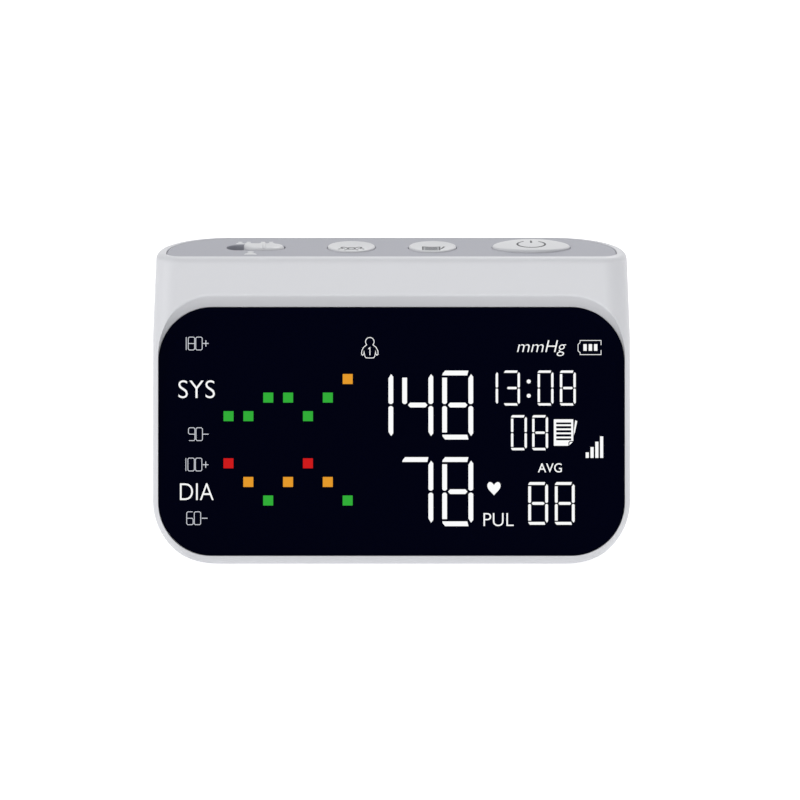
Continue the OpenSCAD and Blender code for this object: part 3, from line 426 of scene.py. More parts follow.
def recess_tool():
    """The recess: the window's pocket, a slope to the front face and a rounded lip there."""
    inner = window_outline(window_gap)
    outward = window_outline(1)
    outer = round_rect(-window_w / 2 - window_gap, window_w / 2 + window_gap, window_up - window_gap,
                       window_h + recess_rise + window_up,
                       (window_r, recess_high_r, recess_high_r, window_r), 20)
    low = [on_window(x, up, 0) for x, up in inner]
    high = [on_front(x, up, 0) for x, up in outer]
    flare = []
    for a, b, (x, up), (ox, oup) in zip(low, high, inner, outward):
        away = Vector((ox - x, oup - up)).normalized()
        reach = (b - a).length * lip_share
        side = on_front(away.x, away.y, 0) - on_front(0, 0, 0)
        out = on_front(0, 0, -lip_lift) - on_front(0, 0, 0)
        flare.append((b + (a - b) * lip_share, b, b + side * reach + out))
    rings = [[on_window(x, up, window_t) for x, up in inner], low]
    for step in range(6):
        t = step / 5
        rings.append([p * (1 - t) ** 2 + q * 2 * t * (1 - t) + r * t * t for p, q, r in flare])
    lift = on_front(0, 0, -recess_clear) - on_front(0, 0, 0)
    rings.append([r + lift for p, q, r in flare])
    return layered("recess_tool", rings)


plate_lo, plate_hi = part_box("top_plate")
plate_gap = 0.15 * mm
plate_back_r = 17 * mm
plate_front_r = 4 * mm
deck_low = plate_lo.z - 1.5 * mm
rim_soft = 0.35 * mm
beyond = 20 * mm
overrun = 1 * mm


def cavity_tool():
    """The hollow in the body: behind the window's ledge and under the top deck."""
    hollow = body_form("cavity_tool", wall)
    bm = bmesh.new()
    bm.from_mesh(hollow.data)
    bpy.data.objects.remove(hollow)
    ledge = on_window(0, 0, window_t + ledge_t)
    inwards = on_window(0, 0, 1) - on_window(0, 0, 0)
    for place, normal in ((ledge, -inwards), (Vector((0, 0, deck_low)), Vector((0, 0, 1)))):
        found = bmesh.ops.bisect_plane(bm, geom=bm.verts[:] + bm.edges[:] + bm.faces[:],
                                       plane_co=place, plane_no=normal, clear_outer=True)
        rim = [g for g in found["geom_cut"] if isinstance(g, bmesh.types.BMEdge)]
        bmesh.ops.contextual_create(bm, geom=rim)
    bmesh.ops.recalc_face_normals(bm, faces=bm.faces)
    return piece("cavity_tool", bm)


def plate_points(grow):
    """The inlay's outline: small corners in front, wide ones behind."""
    radii = (plate_front_r + grow, plate_back_r + grow, plate_back_r + grow, plate_front_r + grow)
    return round_rect(plate_lo.x - grow, plate_hi.x + grow, plate_lo.y - grow, plate_hi.y + grow,
                      radii, 16)


def oval_points(x, y, half_x, half_y, steps=72):
    """Points round an ellipse."""
    return [(x + half_x * cos(2 * pi * i / steps), y + half_y * sin(2 * pi * i / steps))
            for i in range(steps)]


def circle_points(x, y, r, steps=72):
    """Points round a circle."""
    return oval_points(x, y, r, r, steps)


def pill_points(x, y, half_l, half_w, steps=18):
    """Points round two half circles joined by straight sides."""
    points = []
    for side, start in ((1, -90), (-1, 90)):
        for step in range(steps + 1):
            a = radians(start + 180 * step / steps)
            points.append((x + side * (half_l - half_w) + half_w * cos(a), y + half_w * sin(a)))
    return points


button_gap = 0.25 * mm
flange_w = 1 * mm
button_boxes = {name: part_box(name) for name in ("user_button", "memory_button", "power_button")}
button_sizes = {name: ((lo.x + hi.x) / 2, (hi.x - lo.x) / 2 - flange_w, (hi.y - lo.y) / 2 - flange_w)
                for name, (lo, hi) in button_boxes.items()}
slot_x, slot_l, slot_w = -37.1 * mm, 16.1 * mm, 7.1 * mm
button_y = (plate_lo.y + plate_hi.y) / 2


def slot_points(grow):
    """The slide switch's slot: straight sides and half-round ends."""
    return pill_points(slot_x, button_y, slot_l / 2 + grow, slot_w / 2 + grow)


def well_points(name):
    """A button's opening in the plate and the deck, as points that can be grown."""
    x, half_x, half_y = button_sizes[name]
    return lambda grow: oval_points(x, button_y, half_x + button_gap + grow, half_y + button_gap + grow)


openings = [slot_points] + [well_points(name) for name in button_sizes]
foot_lo, foot_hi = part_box("rubber_feet")
foot_r = 4.5 * mm
foot_gap = 0.1 * mm
foot_sink = foot_hi.z - base_z


def foot_tools(y):
    """Pockets in the base for two of the feet."""
    x = foot_hi.x - foot_r
    return [rod("foot_tool", (s * x, y, -overrun), (s * x, y, base_z + foot_sink), foot_r + foot_gap)
            for s in (-1, 1)]


seam_y = 10 * mm
seam_gap = 0.2 * mm
band_z = top_z - 6 * mm
socket_lo, socket_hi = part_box("air_socket")
socket_y = (socket_lo.y + socket_hi.y) / 2
socket_z, socket_r = 30 * mm, 4.5 * mm
socket_gap = 0.1 * mm
side_soft = 0.4 * mm
port_lo, port_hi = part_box("power_socket")
port_y, port_z = (port_lo.y + port_hi.y) / 2, (port_lo.z + port_hi.z) / 2
port_gap = 0.25 * mm


def port_points(grow):
    """The power socket's outline, seen from the side, as (y, z)."""
    half_z, half_y = (port_hi.z - port_lo.z) / 2 + grow, (port_hi.y - port_lo.y) / 2 + grow
    return [(y, z) for z, y in pill_points(port_z, port_y, half_z, half_y)]


front_shell = body_form("front_shell", 0)
cut(front_shell, cavity_tool(), recess_tool(),
    window_slab("ledge_tool", [(0, -ledge_w), (window_t + ledge_t + overrun, -ledge_w)]),
    block("seam_tool", (-body_w, seam_y - seam_gap, -beyond),
          (body_w, back_y + beyond, band_z + seam_gap)),
    drawn("plate_tool", lambda grow: plate_points(plate_gap + grow), plate_lo.z, top_z, rim_soft, beyond),
    *[drawn("well_tool", points_at, deck_low - overrun, top_z + beyond) for points_at in openings],
    *foot_tools(foot_lo.y + foot_r),
    drawn("socket_tool", lambda grow: circle_points(socket_y, socket_z, socket_r + socket_gap + grow),
          2 * wall - body_w / 2, -body_w / 2, side_soft, beyond, axis=0),
    drawn("port_tool", lambda grow: port_points(port_gap + grow), body_w / 2 - 2 * wall, body_w / 2,
          side_soft, beyond, axis=0))
smooth(front_shell)
coat(front_shell, housing_white)
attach(front_shell, "root")
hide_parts("front_housing")

# The rear housing: the back, the rear half of the base and the battery bay in one white
# moulding. A lip reaches over the seam, and four screws in deep wells hold it from behind.
cell_r = 7.25 * mm
cell_pitch = 14.9 * mm
bay_gap = 0.2 * mm
cell_lo, cell_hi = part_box("batteries")
cell_y = (cell_lo.y + cell_hi.y) / 2
contact_lo, contact_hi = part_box("battery_contacts")
bay_x = (cell_lo.x + cell_hi.x) / 2
bay_half = 2 * cell_pitch
bay_lo = Vector((bay_x - bay_half, cell_y - cell_r - bay_gap, contact_lo.z))
bay_hi = Vector((bay_x + bay_half, back_y - wall, contact_hi.z))
bay_wall = Vector((1.2, 1.2, 1.2)) * mm
door_lap = 2 * mm
door_gap = 0.3 * mm
door_z0, door_z1 = bay_lo.z + door_lap, bay_hi.z - door_lap
door_half = bay_half - 0.5 * mm
latch_half = 7 * mm
latch_low = 2 * mm
door_r, latch_r = 1.2 * mm, 0.8 * mm
lip_d, lip_t = 1.8 * mm, 1 * mm
lip_gap = 0.1 * mm
screw_x = 52 * mm
screw_heights = (14 * mm, 68.35 * mm)
screw_head_r = 2.7 * mm
screw_seat_y = seam_y + 2.5 * mm
well_r = screw_head_r + 0.4 * mm
boss_r, boss_back_y = 3.6 * mm, 19.2 * mm
door_back_y, door_soft = back_y - wall - overrun, 0.25 * mm


def door_points(grow):
    """The battery door's outline, seen from behind."""
    r = door_r + grow
    return round_rect(bay_x - door_half - grow, bay_x + door_half + grow, door_z0 - grow, door_z1 + grow,
                      (r, r, r, r), 6)


def latch_points(grow):
    """The notch over the door that its latch snaps into."""
    r = latch_r + grow
    return round_rect(bay_x - latch_half - grow, bay_x + latch_half + grow, door_z1 - latch_low,
                      door_z1 + door_lap - door_gap + grow, (r, r, r, r), 6)


def body_part(name, inset, lo, hi):
    """The part of the body, moved inwards by inset, that lies inside a box."""
    return cut(body_form(name, inset), block("part_tool", lo, hi), operation="INTERSECT")


rear_shell = body_part("rear_shell", 0, (-body_w, seam_y, -beyond), (body_w, back_y + beyond, band_z))
cut(rear_shell, cavity_tool())
lip_end = (body_w, seam_y + wall, band_z - lip_d)
locating_lip = body_part("locating_lip", wall + lip_gap, (-body_w, seam_y - lip_d, -beyond), lip_end)
lip_root = body_part("lip_root", wall / 2, (-body_w, seam_y, -beyond), lip_end)
cut(locating_lip, lip_root, operation="UNION")
cut(locating_lip, body_form("lip_hollow", wall + lip_gap + lip_t))
bay_box = body_part("bay_box", wall / 2, bay_lo - bay_wall,
                    (bay_hi.x + bay_wall.x, back_y, bay_hi.z + bay_wall.z))
screw_bosses = [rod("screw_boss", (s * screw_x, seam_y, z), (s * screw_x, boss_back_y, z), boss_r)
                for s in (-1, 1) for z in screw_heights]
cut(rear_shell, locating_lip, bay_box, *screw_bosses, operation="UNION")
screw_wells = [drawn("screw_well", lambda grow: circle_points(s * screw_x, z, well_r + grow, 48),
                     screw_seat_y, back_y + beyond, axis=1) for s in (-1, 1) for z in screw_heights]
cut(rear_shell, block("bay_hollow", bay_lo, bay_hi + Vector((0, lip_gap, 0))),
    drawn("door_tool", lambda grow: door_points(door_gap + grow), door_back_y, back_y, door_soft, beyond,
          axis=1),
    drawn("latch_tool", lambda grow: latch_points(door_gap + grow), door_back_y, back_y, door_soft,
          beyond, axis=1),
    *screw_wells, *foot_tools(foot_hi.y - foot_r))
smooth(rear_shell)
coat(rear_shell, housing_white)
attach(rear_shell, "root")
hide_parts("rear_housing")

# The grey inlay: a flat ABS plate with a soft upper edge, dropped into the pocket on top
# and glued there, with openings for the three buttons and the slide knob.
plate_soft = 0.25 * mm


def soft_plate(name, loops, z0, z1, soft):
    """A flat slab with openings, with a rounded upper edge along its outline and each opening."""
    bm = bmesh.new()
    low, high = [], []
    profile = [(z0, 0), (z1 - soft, 0)] + [(z1 - left, inset) for left, inset in rounding(soft)]
    for points_at, way in loops:
        rings = [add_ring(bm, [(x, y, z) for x, y in points_at(way * inset)]) for z, inset in profile]
        for one, other in zip(rings, rings[1:]):
            bmesh.ops.bridge_loops(bm, edges=one + other)
        low += rings[0]
        high += rings[-1]
    for rim in (low, high):
        bmesh.ops.triangle_fill(bm, use_beauty=True, edges=rim)
    bmesh.ops.recalc_face_normals(bm, faces=bm.faces)
    return piece(name, bm)


plate_grey = satin_plastic("plate_grey", (0.396, 0.402, 0.452), 0.5, grain=0.35, bump=0.05)
button_line = button_gap / 2
wells = [(lambda grow, points_at=points_at: points_at(grow - button_line), 1) for points_at in openings[1:]]
inlay = soft_plate("inlay", [(plate_points, -1), (slot_points, 1)] + wells, plate_lo.z, plate_hi.z,
                   plate_soft)
smooth(inlay)
coat(inlay, plate_grey)
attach(inlay, "root")
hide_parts("top_plate")

# The window: one flat sheet of tinted acrylic, black from behind but for the lit marks, with
# a polished edge. It is bonded to the ledge of the front housing with a clear film.
window_black, window_tree, window_skin = paint("window_black", {"Specular IOR Level": 0.01, "IOR": 1.45})
window_cloud = cloud(window_tree, 14)
tinted(window_tree, window_cloud, (0.0001, 0.0004, 0.0056), (0.0002, 0.0006, 0.0068),
       window_skin["Base Color"])
ranged(window_tree, window_cloud, 0.05, 0.09, window_skin["Roughness"])

window_face = 0.01 * mm
edge_soft = 0.2 * mm
window_pane = window_slab("window_pane", [(window_t, 0), (window_face + edge_soft, 0)] +
                          [(window_face + left, -inset) for left, inset in rounding(edge_soft)])
smooth(window_pane)
coat(window_pane, window_black)
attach(window_pane, "root")
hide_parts("display_window")

# The lit marks: light from the display panel shows through the window as white digits,
# labels and signs, and as a chart of green, orange and red squares.
mark_low, mark_high = -0.02 * mm, 0.03 * mm


def light(name, colour):
    """Light that comes through the window: even, with a very slight unevenness of the panel."""
    material, tree, skin = paint(name, {"Base Color": (0, 0, 0, 1), "Specular IOR Level": 0,
                                        "Roughness": 0.6, "Emission Strength": 1})
    tinted(tree, cloud(tree, 60), shade(colour, 0.96), colour, skin["Emission Color"])
    return material


def inked(name, shapes, place, low, high, grid=0):
    """Thin marks on a surface: flat shapes in mm, joined, given a thickness and laid in place."""
    bm = bmesh.new()
    for shape in shapes:
        bmesh.ops.contextual_create(bm, geom=add_ring(bm, [(p[0], p[1], 0) for p in shape]))
    bmesh.ops.remove_doubles(bm, verts=bm.verts, dist=0.001)
    if grid:
        for axis in (0, 1):
            spread = [vert.co[axis] for vert in bm.verts]
            normal = Vector((1 - axis, axis, 0))
            for step in range(int(min(spread) / grid) - 1, int(max(spread) / grid) + 2):
                bmesh.ops.bisect_plane(bm, geom=bm.verts[:] + bm.edges[:] + bm.faces[:],
                                       plane_co=normal * step * grid, plane_no=normal)
    raised = bmesh.ops.extrude_face_region(bm, geom=bm.faces[:], use_keep_orig=True)["geom"]
    raised = {g for g in raised if isinstance(g, bmesh.types.BMVert)}
    for vert in bm.verts:
        vert.co = place(vert.co.x * mm, vert.co.y * mm, high if vert in raised else low)
    bmesh.ops.recalc_face_normals(bm, faces=bm.faces)
    return piece(name, bm)


def stroke(points, width, closed=False):
    """A drawn line as quads, mitred where it turns."""
    points = [Vector(p) for p in points]
    last = len(points) - 1
    sides = []
    for i, point in enumerate(points):
        before = points[i - 1] if closed or i > 0 else 2 * point - points[1]
        after = points[(i + 1) % len(points)] if closed or i < last else 2 * point - points[i - 1]
        ahead, behind = (after - point).normalized(), (point - before).normalized()
        middle = (ahead + behind).normalized()
        across = Vector((-middle.y, middle.x)) * width / 2 / max(middle.dot(ahead), 0.5)
        sides.append((point + across, point - across))
    return [(a[0], b[0], b[1], a[1]) for a, b in zip(sides, sides[1:] + sides[:int(closed)])]


bars_lit = {"0": "abcdef", "1": "bc", "3": "abcdg", "4": "bcfg", "7": "abc", "8": "abcdefg"}


def digit(number, x, y, w, h, t):
    """The lit bars of one digit: cut or pointed ends, and a gap to the next bar."""
    mid = h / 2
    foot = ((0, mid + 0.5 * t), (0.3 * t, mid + 0.22 * t), (0.7 * t, mid + 0.22 * t), (t, mid + 0.5 * t))
    upper = {"a": ((0, h - t), (0.1 * t, h - 0.6 * t), (0.6 * t, h), (w - t, h), (w - 1.25 * t, h - t)),
             "f": foot + ((t, h - 1.48 * t), (0, h - 1.48 * t)),
             "b": tuple((w - t + px, py) for px, py in foot) +
                  ((w, h - 1.3 * t), (w - 0.45 * t, h - 0.72 * t), (w - t, h - 1.6 * t))}
    bars = {"g": ((1.2 * t, mid), (1.65 * t, mid + t / 2), (w - 1.65 * t, mid + t / 2), (w - 1.2 * t, mid),
                  (w - 1.65 * t, mid - t / 2), (1.65 * t, mid - t / 2)), **upper}
    for bar, twin in (("a", "d"), ("b", "c"), ("f", "e")):
        bars[twin] = tuple((px, h - py) for px, py in upper[bar])
    return [[(x + px, y + py) for px, py in bars[bar]] for bar in bars_lit[number]]


def thin_digit(number, x, y):
    """A small digit drawn with one thin line."""
    w, h, t, c = 1.75, 3.5, 0.19, 0.3
    if number == "1":
        return stroke([(x, y), (x, y + h)], t)
    ring = [(c, 0), (w - c, 0), (w, c), (w, h - c), (w - c, h), (c, h), (0, h - c), (0, c)]
    loop = [(c, h / 2), (w, h / 2), (w, h - c), (w - c, h), (c, h), (0, h - c), (0, h / 2 + c)]
    tail = [(w, h / 2), (w, c), (w - c, 0), (c / 2, 0)]
    lines = {"0": [(ring, True)], "8": [(ring, True), ([(0, h / 2), (w, h / 2)], False)],
             "9": [(loop, True), (tail, False)],
             "6": [([(w - px, h - py) for px, py in loop], True),
                   ([(w - px, h - py) for px, py in tail], False)]}
    quads = []
    for points, closed in lines[number]:
        quads += stroke([(x + px, y + py) for px, py in points], t, closed)
    return quads


def lettering(text, x0, x1, y0, y1, slant, weight):
    """Plain sans lettering as flat shapes that fill the given box."""
    data = bpy.data.curves.new("lettering", "FONT")
    data.body = text
    data.shear = slant
    data.offset = weight
    data.resolution_u = 5
    holder = bpy.data.objects.new("lettering", data)
    scene.collection.objects.link(holder)
    bpy.context.view_layer.update()
    flat = bpy.data.meshes.new_from_object(holder.evaluated_get(bpy.context.evaluated_depsgraph_get()))
    xs, ys = [v.co.x for v in flat.vertices], [v.co.y for v in flat.vertices]
    grow_x, grow_y = (x1 - x0) / (max(xs) - min(xs)), (y1 - y0) / (max(ys) - min(ys))
    shapes = [[(x0 + (xs[i] - min(xs)) * grow_x, y0 + (ys[i] - min(ys)) * grow_y) for i in face.vertices]
              for face in flat.polygons]
    bpy.data.objects.remove(holder)
    return shapes


def rectangle(x0, x1, y0, y1):
    """The four corners of a rectangle."""
    return [(x0, y0), (x1, y0), (x1, y1), (x0, y1)]


def lit(name, material, shapes):
    """A group of lit marks on the window's face."""
    made = inked(name, shapes, lambda x, y, lift: on_window(x, y, -lift), mark_low, mark_high)
    coat(made, material)
    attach(made, "root")


large, medium, small = (8.42, 18.75, 1.3), (5.38, 11.6, 0.77), (4.32, 9.55, 0.64)
readings = []
for number, x, y, size in (
        ("1", -7.95, 31.5, large), ("4", 2.92, 31.5, large), ("8", 13.79, 31.5, large),
        ("7", 2.92, 7.95, large), ("8", 13.79, 7.95, large), ("1", 24.66, 40.73, small),
        ("3", 30.61, 40.73, small), ("0", 39.74, 40.73, small), ("8", 45.8, 40.73, small),
        ("0", 32.49, 28.58, small), ("8", 38.25, 28.58, small), ("8", 37.16, 8.33, medium),
        ("8", 44.4, 8.33, medium)):
    readings += digit(number, x, y, *size)
readings += [circle_points(37.32, y, 0.55, 28) for y in (47.3, 43.4)]
white_light = light("white_light", (0.99, 0.995, 1.0))
lit("readings", white_light, readings)

labels = []
for text, x0, x1, y0, y1, slant, weight in (
        ("SYS", -57.95, -48.05, 42.75, 47.6, 0, -0.01), ("DIA", -57.5, -48.35, 15.05, 19.6, 0, -0.01),
        ("PUL", 25.0, 33.2, 7.95, 11.5, 0, -0.01), ("AVG", 39.8, 46.3, 22.55, 25.05, 0, 0.002),
        ("mmHg", 34.15, 47.5, 54.2, 58.5, 0.22, -0.01)):
    labels += lettering(text, x0, x1, y0, y1, slant, weight)
scale_marks = []
for number, x, y in (("1", -55.85, 55.87), ("8", -55.3, 55.87), ("0", -53.25, 55.87), ("9", -55.2, 31.2),
                     ("0", -53.15, 31.2), ("1", -55.9, 22.95), ("0", -55.35, 22.95), ("0", -53.3, 22.95),
                     ("6", -55.65, 8.35), ("0", -53.6, 8.35)):
    scale_marks += thin_digit(number, x, y)
for x, y, upright_bar in ((-50.5, 57.65, True), (-50.5, 32.95, False), (-50.5, 24.65, True),
                          (-50.75, 10.1, False)):
    scale_marks.append(rectangle(x - 0.85, x + 0.75, y - 0.11, y + 0.11))
    if upright_bar:
        scale_marks.append(rectangle(x - 0.11, x + 0.11, y + 0.11, y + 0.85))
        scale_marks.append(rectangle(x - 0.11, x + 0.11, y - 0.85, y - 0.11))
lit("labels", white_light, labels)
lit("scale_marks", light("soft_white_light", (0.66, 0.68, 0.74)), scale_marks)

user_x, user_top = -5.9, 59.4
half_user = [(0, -5.73), (-1.0, -5.68), (-1.33, -5.33), (-1.57, -3.76), (-1.62, -4.6), (-1.9, -4.98),
             (-2.24, -4.7), (-2.2, -3.8), (-1.74, -2.84)]
head = [(1.17 * cos(radians(a)), 1.17 * sin(radians(a)) - 1.3) for a in range(225, -46, -15)]
user_line = half_user + head + [(-x, y) for x, y in reversed(half_user[1:])]
signs = stroke([(user_x + x, user_top + y) for x, y in user_line], 0.19, closed=True)
signs += stroke([(user_x + x, user_top + y) for x, y in ((-0.4, -3.25), (0.02, -2.9), (0.02, -4.95))], 0.22)
signs += stroke([(57.0, 57.2), (57.0, 58.45), (51.3, 58.45), (51.3, 57.85), (50.75, 57.4), (50.75, 55.6),
                 (51.3, 55.15), (51.3, 54.6), (57.0, 54.6), (57.0, 55.8)], 0.17)
signs += [rectangle(x, x + 0.9, 55.65, 57.45) for x in (52.2, 53.65, 55.1)]
signs += [rectangle(44.13, 44.78, 31.3, 36.15), rectangle(48.85, 49.42, 31.3, 36.15),
          rectangle(44.13, 49.42, 36.15, 37.0)]
signs += [rectangle(44.78, 48.85, y, y + 0.48) for y in (31.82, 32.94, 34.04, 35.15)]
signs += [[(44.13, 29.8), (48.1, 29.8), (48.1, 30.75), (48.5, 31.1), (49.42, 31.1), (49.42, 31.3),
           (44.13, 31.3)], [(48.35, 29.95), (49.3, 30.85), (48.6, 30.85), (48.35, 30.6)]]
signs.append([(49.95, 36.75), (50.5, 36.5), (49.9, 33.6), (49.55, 32.6), (49.55, 33.7)])
signs += [rectangle(52.8 + 1.3 * i, 53.65 + 1.3 * i, 26.5, 28.0 + 1.45 * i) for i in range(4)]
heart = []
for step in range(48):
    a = 2 * pi * step / 48
    across = 15.2 * sin(a) * abs(sin(a)) ** 1.2
    up = 13 * cos(a) - 5 * cos(2 * a) - 2 * cos(3 * a) - cos(4 * a)
    heart.append((27.85 + across * 0.118, 18.45 + up * 0.125))
signs.append(heart)
lit("signs", white_light, signs)

chart = {"chart_green": ((0.032, 0.423, 0.041), ((0, 37.85), (1, 37.85), (2, 42.9), (3, 42.9), (4, 37.85),
                                                (5, 42.9), (2, 14.92), (6, 14.92))),
         "chart_orange": ((0.79, 0.328, 0.026), ((6, 47.96), (1, 19.96), (3, 19.96), (5, 19.96))),
         "chart_red": ((0.617, 0.0116, 0.0125), ((0, 25.03), (4, 25.03)))}
for name, (colour, squares) in chart.items():
    marks = []
    for column, y in squares:
        x = -44.32 + 5.4 * column
        marks.append(round_rect(x - 1.36, x + 1.36, y - 1.36, y + 1.36, (0.08,) * 4, 3))
    lit(name, light(name + "_light", colour), marks)

# The buttons: white ABS caps, two round ones with a dished face for the user and the memory,
# and a wider domed oval for power. Each drops through the deck on a flange and a stem.
button_white = satin_plastic("button_white", (0.715, 0.722, 0.745), 0.36, grain=0.3, bump=0.02)
stem_r = 1.8 * mm
stem_l = 1.8 * mm
flange_t = 1 * mm
cap_soft = 0.45 * mm
dish_d = 0.55 * mm
dish_lip = 0.5 * mm
dome_rise = 0.8 * mm
face_rings = (0.91, 0.88, 0.8, 0.68, 0.54, 0.4, 0.26, 0.12)


def dish(x, y, name):
    """Height of a round button's face: a flat lip round a shallow dish."""
    middle, half, _ = button_sizes[name]
    top = button_boxes[name][1].z
    inner = half - dish_lip
    r = (inner ** 2 + dish_d ** 2) / (2 * dish_d)
    far = min(sqrt((x - middle) ** 2 + (y - button_y) ** 2), inner)
    return top - (sqrt(r ** 2 - far ** 2) - (r - dish_d))


def dome(x, y, name):
    """Height of the power button's face: part of a large ball."""
    middle, half, _ = button_sizes[name]
    r = (half ** 2 + dome_rise ** 2) / (2 * dome_rise)
    return button_boxes[name][1].z - r + sqrt(r ** 2 - (x - middle) ** 2 - (y - button_y) ** 2)


def button(name, face, body):
    """A cap from its stem up: flange, wall, rounded rim, and rings over its face."""
    low = button_boxes[name][0].z
    middle, half_x, half_y = button_sizes[name]
    wide_x, wide_y = half_x + flange_w, half_y + flange_w
    flange_z = low + stem_l

    def level(reach_x, reach_y, z):
        return [(x, y, z(x, y) if callable(z) else z)
                for x, y in oval_points(middle, button_y, reach_x, reach_y)]

    rings = [level(stem_r, stem_r, low), level(stem_r, stem_r, flange_z), level(wide_x, wide_y, flange_z),
             level(wide_x, wide_y, flange_z + flange_t), level(half_x, half_y, flange_z + flange_t)]
    for drop, inset in rounding(cap_soft, 0, 22, 45, 67, 90):
        rings.append(level(half_x - inset, half_y - inset, lambda x, y: face(x, y, name) - drop))
    for share in face_rings:
        rings.append(level(half_x * share, half_y * share, lambda x, y: face(x, y, name)))
    made = layered(name + "_cap", rings)
    smooth(made, 40)
    coat(made, button_white)
    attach(made, body)
    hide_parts(name)


button("user_button", dish, "user_key")
button("memory_button", dish, "memory_key")
button("power_button", dome, "power_key")

# The signs on the buttons are pad-printed in dark grey ink: a group of people, a notebook
# with a pen, and the power sign.
ink_low, ink_high = -0.02 * mm, 0.02 * mm


def ink(name, colour):
    """Printed ink: matt, and a little thinner in places."""
    material, tree, skin = paint(name, {"Roughness": 0.55})
    tinted(tree, cloud(tree, 2500), shade(colour, 0.85), colour, skin["Base Color"])
    return material


def printed(name, shapes, material, face, owner, body):
    """A print on a button's face, round the button's middle."""
    middle = button_sizes[owner][0]

    def on_face(x, y, lift):
        return Vector((x + middle, y + button_y, face(x + middle, y + button_y, owner) + lift))

    made = inked(name, shapes, on_face, ink_low, ink_high, grid=0.8)
    coat(made, material)
    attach(made, body)


def arc(x, y, rx, ry, start, end, steps=20):
    """Points along part of an ellipse."""
    return [(x + rx * cos(radians(start + (end - start) * i / steps)),
             y + ry * sin(radians(start + (end - start) * i / steps))) for i in range(steps + 1)]


dark_ink = ink("dark_ink", (0.045, 0.048, 0.056))
grey_ink = ink("grey_ink", (0.30, 0.31, 0.33))
people = stroke(arc(0, -0.75, 1.05, 1.1, 0, 345), 0.52, closed=True)
people += stroke(arc(0, -4.6, 1.8, 2.4, 0, 180), 0.52)
for side in (-1, 1):
    people += stroke([(side * x, y) for x, y in arc(2.0, -0.35, 0.75, 0.8, -110, 160)], 0.48)
    people += stroke([(side * x, y) for x, y in arc(2.05, -3.5, 1.35, 1.8, 0, 78)], 0.48)
printed("people_print", people, dark_ink, dish, "user_button", "user_key")

notebook = stroke([(-2.65, -4.85), (1.95, -4.85), (1.95, 0.85), (-2.65, 0.85)], 0.42, closed=True)
notebook += [rectangle(-2.0, 1.3, y, y + 0.28) for y in (-0.4, -1.5, -2.6, -3.7)]
notebook += [[(2.05, -2.6), (2.2, -1.7), (2.95, 0.85), (3.5, 0.65), (2.65, -2.0)]]
printed("notebook_print", notebook, dark_ink, dish, "memory_button", "memory_key")
page = [rectangle(-2.4, 1.7, y, y + 0.7) for y in (-4.55, -3.35, -2.25, -1.15, -0.05)]
printed("page_print", page, grey_ink, dish, "memory_button", "memory_key")

power_sign = stroke(arc(0, -1.0, 3.8, 3.8, 122, 418, 40), 0.52)
power_sign += [rectangle(-0.26, 0.26, 0.2, 3.3)]
printed("power_print", power_sign, dark_ink, dome, "power_button", "power_key")

# The slide knob: a white pill with a crowned back and a grip ridge across it, on a skirt that
# covers the slot from below, painted grey as shade in the slot. It chooses the user, as the
# white prints beside it say.
knob_lo, knob_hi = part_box("switch_knob")
knob_half_l, knob_half_w = 5.55 * mm, 3.25 * mm
knob_gap = 0.3 * mm
knob_line = 0.12 * mm
skirt_r = 0.5 * mm
knob_x = slot_x + slot_l / 2 - knob_gap - knob_half_l
ridge_rise = 0.35 * mm
ridge_half = 0.45 * mm
ridge_half_l = knob_half_w - 0.35 * mm
ridge_root = 1.2 * mm
crown_r = 9 * mm
knob_low = 0.35 * mm
knob_fall = 0.55 * mm
knob_soft = 0.8 * mm


def crown(x, y):
    """Height of the knob's back, rounded from front to rear and falling away at its free end."""
    fall = knob_fall * max((x - knob_x) / knob_half_l, 0) ** 3
    return knob_hi.z - knob_low - ridge_rise - crown_r + sqrt(crown_r ** 2 - (y - button_y) ** 2) - fall


def knob_ring(shrink, z):
    """One outline of the knob, with a height for each of its points."""
    return [(x, y, z(x, y)) for x, y in pill_points(knob_x, button_y, knob_half_l - shrink,
                                                    max(knob_half_w - shrink, knob_line))]


knob_rings = [knob_ring(0, lambda x, y: deck_low)]
for drop, shrink in rounding(knob_soft, 0, 22, 45, 67, 90):
    knob_rings.append(knob_ring(shrink, lambda x, y: crown(x, y) - drop))
for shrink in (1.1, 1.8, 2.5, 3.1):
    knob_rings.append(knob_ring(shrink * mm, crown))
knob_cap = layered("knob_cap", knob_rings)
ridge_rings = []
arch = [(cos(radians(a)), sin(radians(a))) for a in range(0, 181, 20)]
for step in range(13):
    along = step / 6 - 1
    y = button_y + ridge_half_l * along
    fade = sqrt(max(1 - along ** 6, 0.02))
    top = crown(knob_x, y) + ridge_rise * fade
    ring = [(knob_x + ridge_half * px * (0.6 + 0.4 * fade), y, top + (py - 1) * ridge_half * fade)
            for px, py in arch]
    ridge_rings.append(ring + [(knob_x + side * ridge_half, y, top - ridge_root) for side in (-1, 1)])
cut(knob_cap, layered("ridge", ridge_rings), operation="UNION")
smooth(knob_cap, 40)
coat(knob_cap, button_white)
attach(knob_cap, "slider")
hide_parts("switch_knob")

# The skirt's grey is painted shade: it darkens the slot under the knob as a shadow would.
skirt_painted_shade = satin_plastic("skirt_painted_shade", (0.42, 0.425, 0.46), 0.6)
knob_skirt = drawn("knob_skirt", lambda grow: round_rect(
    knob_lo.x - grow, knob_hi.x + grow, knob_lo.y - grow, knob_hi.y + grow, (skirt_r,) * 4, 4),
    knob_lo.z, deck_low)
smooth(knob_skirt)
coat(knob_skirt, skirt_painted_shade)
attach(knob_skirt, "slider")


def small_person(x, y, size):
    """A head over shoulders, as a small solid sign."""
    shoulders = arc(x, y - 1.5 * size, 1.15 * size, 1.35 * size, 0, 180, 14)
    return [circle_points(x, y + 0.62 * size, 0.62 * size, 18), shoulders]


